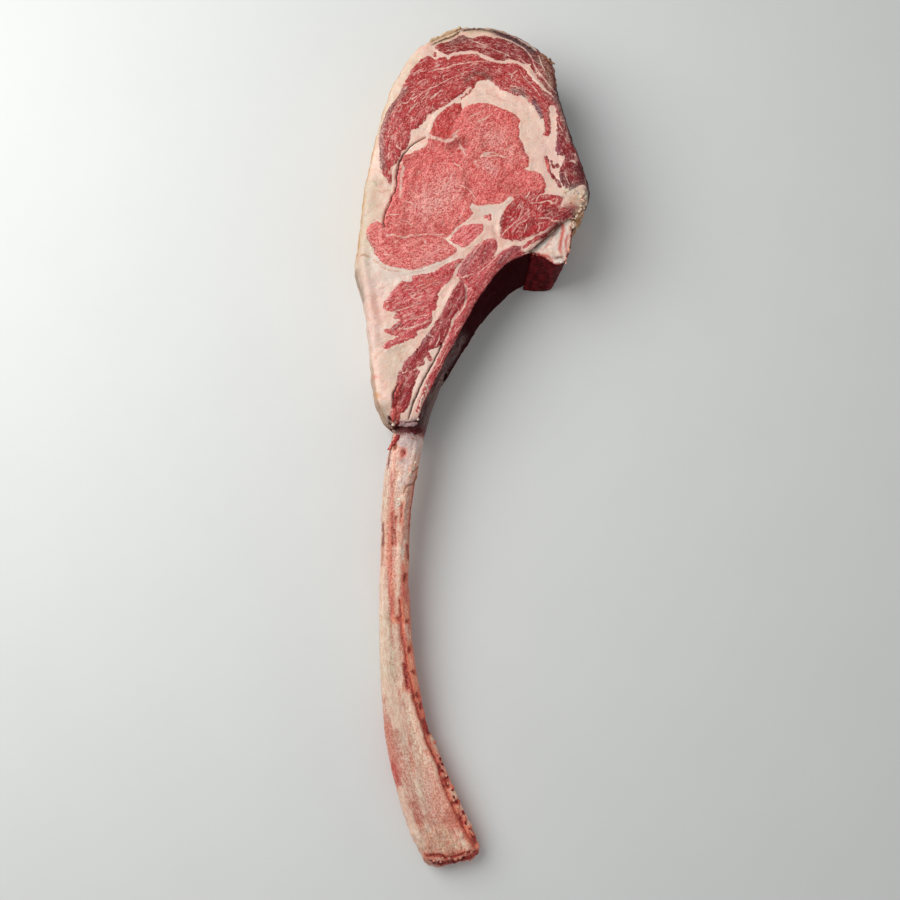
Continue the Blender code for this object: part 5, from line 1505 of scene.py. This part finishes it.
def chine_layers(places, normals, chine_colour):
    """All that the chine's finish reads: where it is sawn, how far from the rim, and colours."""
    sawn = blend(normals[:, 2], 0.45, 0.75) * blend(places[:, 2], 36.0, 40.0)
    sides = tree_of(places[sawn < 0.5].tolist())
    rim = np.array([sides.find(place)[2] for place in places.tolist()])
    tint = np.tile(chine_colour, (len(places), 1))
    return {"sawn": sawn, "rim": rim,
            "tint": painted(tint, wander(places, 1.6, 0.4)[:, :2], PAINT, ("chine",))}


def chine_by_the_meat(places, normals):
    """The chine's upper edge drawn out to meet the meat."""
    facing = blend(normals[:, :2] @ np.array(TO_THE_MEAT), 0.1, 0.5)
    facing *= blend(places[:, 2], 40.0, 46.0)
    places[:, :2] += np.outer(1.3 * facing, TO_THE_MEAT)
    places[:, 2] += 0.5 * facing * blend(places[:, 2], 46.0, 50.0)
    return places


def chine_relief(places, sawn):
    move = 0.3 * ripple(places, 6.0) + (0.15 + 0.3 * sawn) * ripple(places, 2.2, 3.3)
    return move + 0.25 - 0.5 * sawn


def chine_finish(name, shine):
    """The finish of the sawn top, or with no shine that of the sides."""
    f = Finish(name, Subsurface_Weight=0.2, Subsurface_Radius=(1.0, 0.4, 0.3),
               Subsurface_Scale=0.002, Coat_Weight=0.3 * shine, Coat_Roughness=0.2,
               Specular_IOR_Level=0.12 + 0.3 * shine, IOR=1.2 + 0.3 * shine)
    place = f.place()
    pores = f.cells(place, 1.3)
    cloud = f.noise(place, 6.0, 4.0, 0.6)
    fine = f.noise(place, 0.8, 3.0, 0.7)
    tint = f.layer("tint", "Color")
    pinker = f.toned(tint, 0.94, 0.68, 0.66)
    redder = f.toned(tint, 0.8, 0.3, 0.28)
    sawn = f.mix(f.span(cloud, 0.44, 0.64, 0.0, 0.35), tint, pinker)
    sawn = f.mix(f.span(pores, 0.36, 0.12, 0.0, 0.4), sawn, redder)
    sawn = f.mix(f.span(f.noise(place, 2.0, 4.0, 0.7), 0.6, 0.68, 0.0, 0.3), sawn, redder)
    rim = f.math("ADD", f.layer("rim"), f.centred(f.noise(place, 2.2, 3.0), 4.0))
    sawn = f.mix(f.span(rim, 0.9, 0.1), sawn, (206, 70, 58))
    smear = f.noise(f.stretched(place, (1.0, 1.0, 0.3)), 3.0, 4.0, 0.65, 0.5)
    side = f.mix(f.span(smear, 0.42, 0.6), (74, 10, 16), (112, 22, 28))
    side = f.mix(f.span(f.noise(place, 2.5, 4.0, 0.7), 0.64, 0.74), side, (178, 110, 104))
    colour = f.mix(f.layer("sawn"), side, sawn)
    colour = f.mix(f.span(fine, 0.44, 0.3, 0.0, 0.16), colour, (150, 70, 64))
    f.link(colour, "Base Color")
    f.link(f.span(cloud, 0.3, 0.7, 0.34, 0.54), "Roughness")
    f.link(f.bump(f.math("ADD", fine, pores), 0.35, 0.4 * MM), "Normal")
    return f


# ---- scraps and floor -------------------------------------------------------------------------


def scrap_lumps():
    """A bmesh of small lumps strewn along the rows of SCRAPS, and each one's middle and colour."""
    bm = bmesh.new()
    chance = random.Random(7)
    ground = np.vstack([read_points(bpy.data.objects[name].data)[0]
                        for name in ("steak_meat", "scraped_rib", "sawn_chine")])
    middles, colours = [], []
    for colour, size, count, spread, sink, row in SCRAPS:
        row = np.array(row if len(row) > 1 else row * 2, float)
        for i in range(count):
            part = (i + chance.uniform(0.1, 0.9)) / count * (len(row) - 1)
            first = min(int(part), len(row) - 2)
            along = row[first + 1] - row[first]
            x, y = row[first] + along * (part - first)
            x, y = x + chance.gauss(0.0, 0.6) * spread, y + chance.gauss(0.0, 0.6) * spread
            under = np.hypot(ground[:, 0] - x, ground[:, 1] - y) < 1.3
            if not under.any():
                continue
            z = ground[under, 2].max() - sink
            grown = chance.uniform(0.65, 1.25)
            turn = math.atan2(along[1], along[0]) + chance.gauss(0.0, 0.35)
            tilt = Euler((chance.gauss(0.0, 0.25), chance.gauss(0.0, 0.25), turn))
            radii = Vector(size) * grown * MM / 2
            shape = Matrix.LocRotScale(Vector((x, y, z)) * MM, tilt, radii)
            bmesh.ops.create_icosphere(bm, subdivisions=2, radius=1.0, matrix=shape)
            middles.append((x, y, z))
            colours.append(linear(colour))
    return bm, middles, colours


def scraps_finish():
    f = Finish("loose_scraps", Subsurface_Weight=0.25, Subsurface_Radius=(1.0, 0.35, 0.2),
               Subsurface_Scale=0.0012, Coat_Weight=0.05, Coat_Roughness=0.2,
               Specular_IOR_Level=0.3, IOR=1.4)
    place = f.place()
    tint = f.layer("tint", "Color")
    speck = f.noise(place, 0.8, 3.0, 0.7)
    cloud = f.noise(place, 2.5, 3.0, 0.6)
    pale = f.toned(tint, 1.2, 1.4, 1.4)
    dark = f.toned(tint, 0.6, 0.4, 0.36)
    colour = f.mottled(tint, cloud, 0.18, 0.6, pale, dark)
    colour = f.mottled(colour, speck, 0.18, 0.7, pale, dark)
    f.link(colour, "Base Color")
    f.link(f.span(cloud, 0.3, 0.7, 0.4, 0.6), "Roughness")
    f.link(f.bump(speck, 0.4, 0.4 * MM), "Normal")
    return f


def floor_finish(lightest):
    f = Finish("pale_floor", Roughness=0.6, Specular_IOR_Level=0.2)
    cloud = f.noise(f.place(), 60.0, 4.0, 0.6)
    darker = [0.952 * part for part in lightest]
    f.link(f.mix(cloud, (*darker, 1.0), (*lightest, 1.0)), "Base Color")
    return f


# ---- settings ---------------------------------------------------------------------------------


def length(name, text, default):
    return bpy.props.FloatProperty(name=name, description=text, default=default, min=0.0,
                                   unit="LENGTH", precision=5)


def hue(name, text, default):
    return bpy.props.FloatVectorProperty(name=name, description=text, subtype="COLOR", size=3,
                                         default=tuple(linear(default)), min=0.0)


class SteakMeatSettings(bpy.types.PropertyGroup):
    voxel: length("Skin step", "Size of the faces before the upper cut is refined", 0.0015)
    fat_colour: hue("Fat", "Colour of the fat on both cuts", FAT_COLOUR)
    vein_colour: hue("Veins", "Colour of the veins of fat in the lean", VEIN_COLOUR)


class SteakBoneSettings(bpy.types.PropertyGroup):
    voxel: length("Skin step", "Size of the faces on the rib and the chine", 0.0009)
    rib_colour: hue("Rib", "Colour of the scraped rib under its streaks", RIB_COLOUR)
    chine_colour: hue("Chine", "Colour of the chine's sawn top", CHINE_COLOUR)


class SteakScrapSettings(bpy.types.PropertyGroup):
    voxel: length("Skin step", "Size of the faces on the scraps", 0.0004)


class SteakStageSettings(bpy.types.PropertyGroup):
    floor_size: length("Floor", "Side of the square floor", 6.0)
    floor_colour: hue("Floor colour", "Colour of the floor where it is lightest", FLOOR_COLOUR)
    window_size: length("Window", "Width of the round light", WINDOW_SIZE)
    camera_height: length("Camera height", "Height of the camera over the floor", 0.78)


# ---- operators --------------------------------------------------------------------------------


class STEAK_OT_meat(bpy.types.Operator):
    """Make the meat: fat and muscles under one skin"""

    bl_idname = "steak.meat"
    bl_label = "Meat"

    def execute(self, context):
        settings = context.scene.steak_meat
        piece = meat_skin(settings.voxel)
        mesh = piece.data
        write_points(mesh, raised_by_the_chine(read_points(mesh)[0]))
        places, normals = read_points(mesh)
        side = 1.0 - blend(np.abs(normals[:, 2]), 0.4, 0.8)
        layers = meat_layers(places, side, settings.fat_colour)
        put_relief(mesh, places, normals, meat_relief(places, layers), layers)
        finish_piece(piece, meat_finish("meat_and_fat", 1.0, settings.vein_colour),
                     ["fat_layer", *MUSCLES], meat_finish("side_wall", 0.1, settings.vein_colour))
        return {"FINISHED"}


class STEAK_OT_rib(bpy.types.Operator):
    """Make the scraped rib bone"""

    bl_idname = "steak.rib"
    bl_label = "Rib bone"

    def execute(self, context):
        settings = context.scene.steak_bone
        piece = remeshed("scraped_rib", node_copy("rib_bone"), settings.voxel)
        reworked(piece, lambda bm: smoothed(bm, bm.verts, times=24))
        mesh = piece.data
        write_points(mesh, flattened_rib(read_points(mesh)[0]))
        places, normals = read_points(mesh)
        layers = rib_layers(places, normals, settings.rib_colour)
        put_relief(mesh, places, normals, rib_relief(places, layers), layers)
        finish_piece(piece, rib_finish(), ["rib_bone"])
        return {"FINISHED"}


class STEAK_OT_chine(bpy.types.Operator):
    """Make the sawn piece of backbone"""

    bl_idname = "steak.chine"
    bl_label = "Chine"

    def execute(self, context):
        settings = context.scene.steak_bone
        piece = remeshed("sawn_chine", node_copy("chine_bone"), settings.voxel)
        reworked(piece, lambda bm: smoothed(bm, bm.verts, times=2))
        mesh = piece.data
        places, normals = read_points(mesh)
        layers = chine_layers(places, normals, settings.chine_colour)
        places = chine_by_the_meat(places, normals)
        put_relief(mesh, places, normals, chine_relief(places, layers["sawn"]), layers)
        finish_piece(piece, chine_finish("sawn_bone", 1.0), ["chine_bone"],
                     chine_finish("chine_side", 0.0))
        return {"FINISHED"}


class STEAK_OT_scraps(bpy.types.Operator):
    """Make the crumbs, nodules and rags of fat and flesh that stand out from the cuts"""

    bl_idname = "steak.scraps"
    bl_label = "Scraps"

    def execute(self, context):
        bm, middles, colours = scrap_lumps()
        piece = remeshed("loose_scraps", bm, context.scene.steak_scraps.voxel)
        mesh = piece.data
        places, normals = read_points(mesh)
        lumps = tree_of(middles)
        nearest = [lumps.find(place)[1] for place in wander(places, 1.2, 0.5).tolist()]
        move = 0.22 * ripple(places, 1.7) + 0.1 * ripple(places, 0.8, 4.5)
        put_relief(mesh, places, normals, move, {"tint": np.array(colours)[nearest]})
        finish_piece(piece, scraps_finish(), [])
        return {"FINISHED"}


class STEAK_OT_stage(bpy.types.Operator):
    """Make the floor, the lights and the camera"""

    bl_idname = "steak.stage"
    bl_label = "Stage"

    def execute(self, context):
        settings = context.scene.steak_stage
        bm = bmesh.new()
        bmesh.ops.create_grid(bm, x_segments=1, y_segments=1, size=settings.floor_size / 2)
        floor = add_piece("floor", bm)
        floor.data.materials.append(floor_finish(settings.floor_colour).material)

        lamp = bpy.data.lights.new("window_light", "AREA")
        lamp.shape = "DISK"
        lamp.size = settings.window_size
        lamp.energy = WINDOW_POWER
        lamp.color = WINDOW_TINT
        window = bpy.data.objects.new("window_light", lamp)
        window.location = WINDOW_PLACE
        aim = Vector(LIT_PLACE) - window.location
        window.rotation_euler = aim.to_track_quat("-Z", "Y").to_euler()
        context.scene.collection.objects.link(window)
        world = bpy.data.worlds.new("soft_room")
        context.scene.world = world
        world.use_nodes = True
        sky = world.node_tree.nodes["Background"]
        sky.inputs["Color"].default_value = (1.0, 1.0, 1.0, 1.0)
        sky.inputs["Strength"].default_value = ROOM_LIGHT

        lens = bpy.data.cameras.new("photo_camera")
        lens.lens = LENS
        lens.sensor_width = SENSOR
        camera = bpy.data.objects.new("photo_camera", lens)
        camera.location = (*CAMERA_XY, settings.camera_height)
        camera.rotation_euler = Euler((math.radians(CAMERA_TILT), 0.0, 0.0))
        context.scene.collection.objects.link(camera)
        context.scene.camera = camera
        context.scene.view_settings.view_transform = "Standard"
        return {"FINISHED"}


OPERATORS = (STEAK_OT_meat, STEAK_OT_rib, STEAK_OT_chine, STEAK_OT_scraps, STEAK_OT_stage)


class STEAK_PT_panel(bpy.types.Panel):
    """The pieces of the steak, in the order in which they are made"""

    bl_idname = "STEAK_PT_panel"
    bl_label = "Raw tomahawk steak"
    bl_space_type = "VIEW_3D"
    bl_region_type = "UI"
    bl_category = "Steak"

    def draw(self, context):
        for name in GROUPS:
            box = self.layout.box()
            group = getattr(context.scene, name)
            for key in group.__annotations__:
                box.prop(group, key)
        for operator in OPERATORS:
            self.layout.operator(operator.bl_idname)


GROUPS = {
    "steak_meat": SteakMeatSettings,
    "steak_bone": SteakBoneSettings,
    "steak_scraps": SteakScrapSettings,
    "steak_stage": SteakStageSettings,
}


def register():
    for cls in (*GROUPS.values(), *OPERATORS, STEAK_PT_panel):
        bpy.utils.register_class(cls)
    for name, cls in GROUPS.items():
        setattr(bpy.types.Scene, name, bpy.props.PointerProperty(type=cls))


def unregister():
    for name in GROUPS:
        delattr(bpy.types.Scene, name)
    for cls in reversed((*GROUPS.values(), *OPERATORS, STEAK_PT_panel)):
        bpy.utils.unregister_class(cls)


def main():
    register()
    bpy.ops.steak.meat()
    bpy.ops.steak.rib()
    bpy.ops.steak.chine()
    bpy.ops.steak.scraps()
    bpy.ops.steak.stage()


if __name__ == "__main__":
    main()
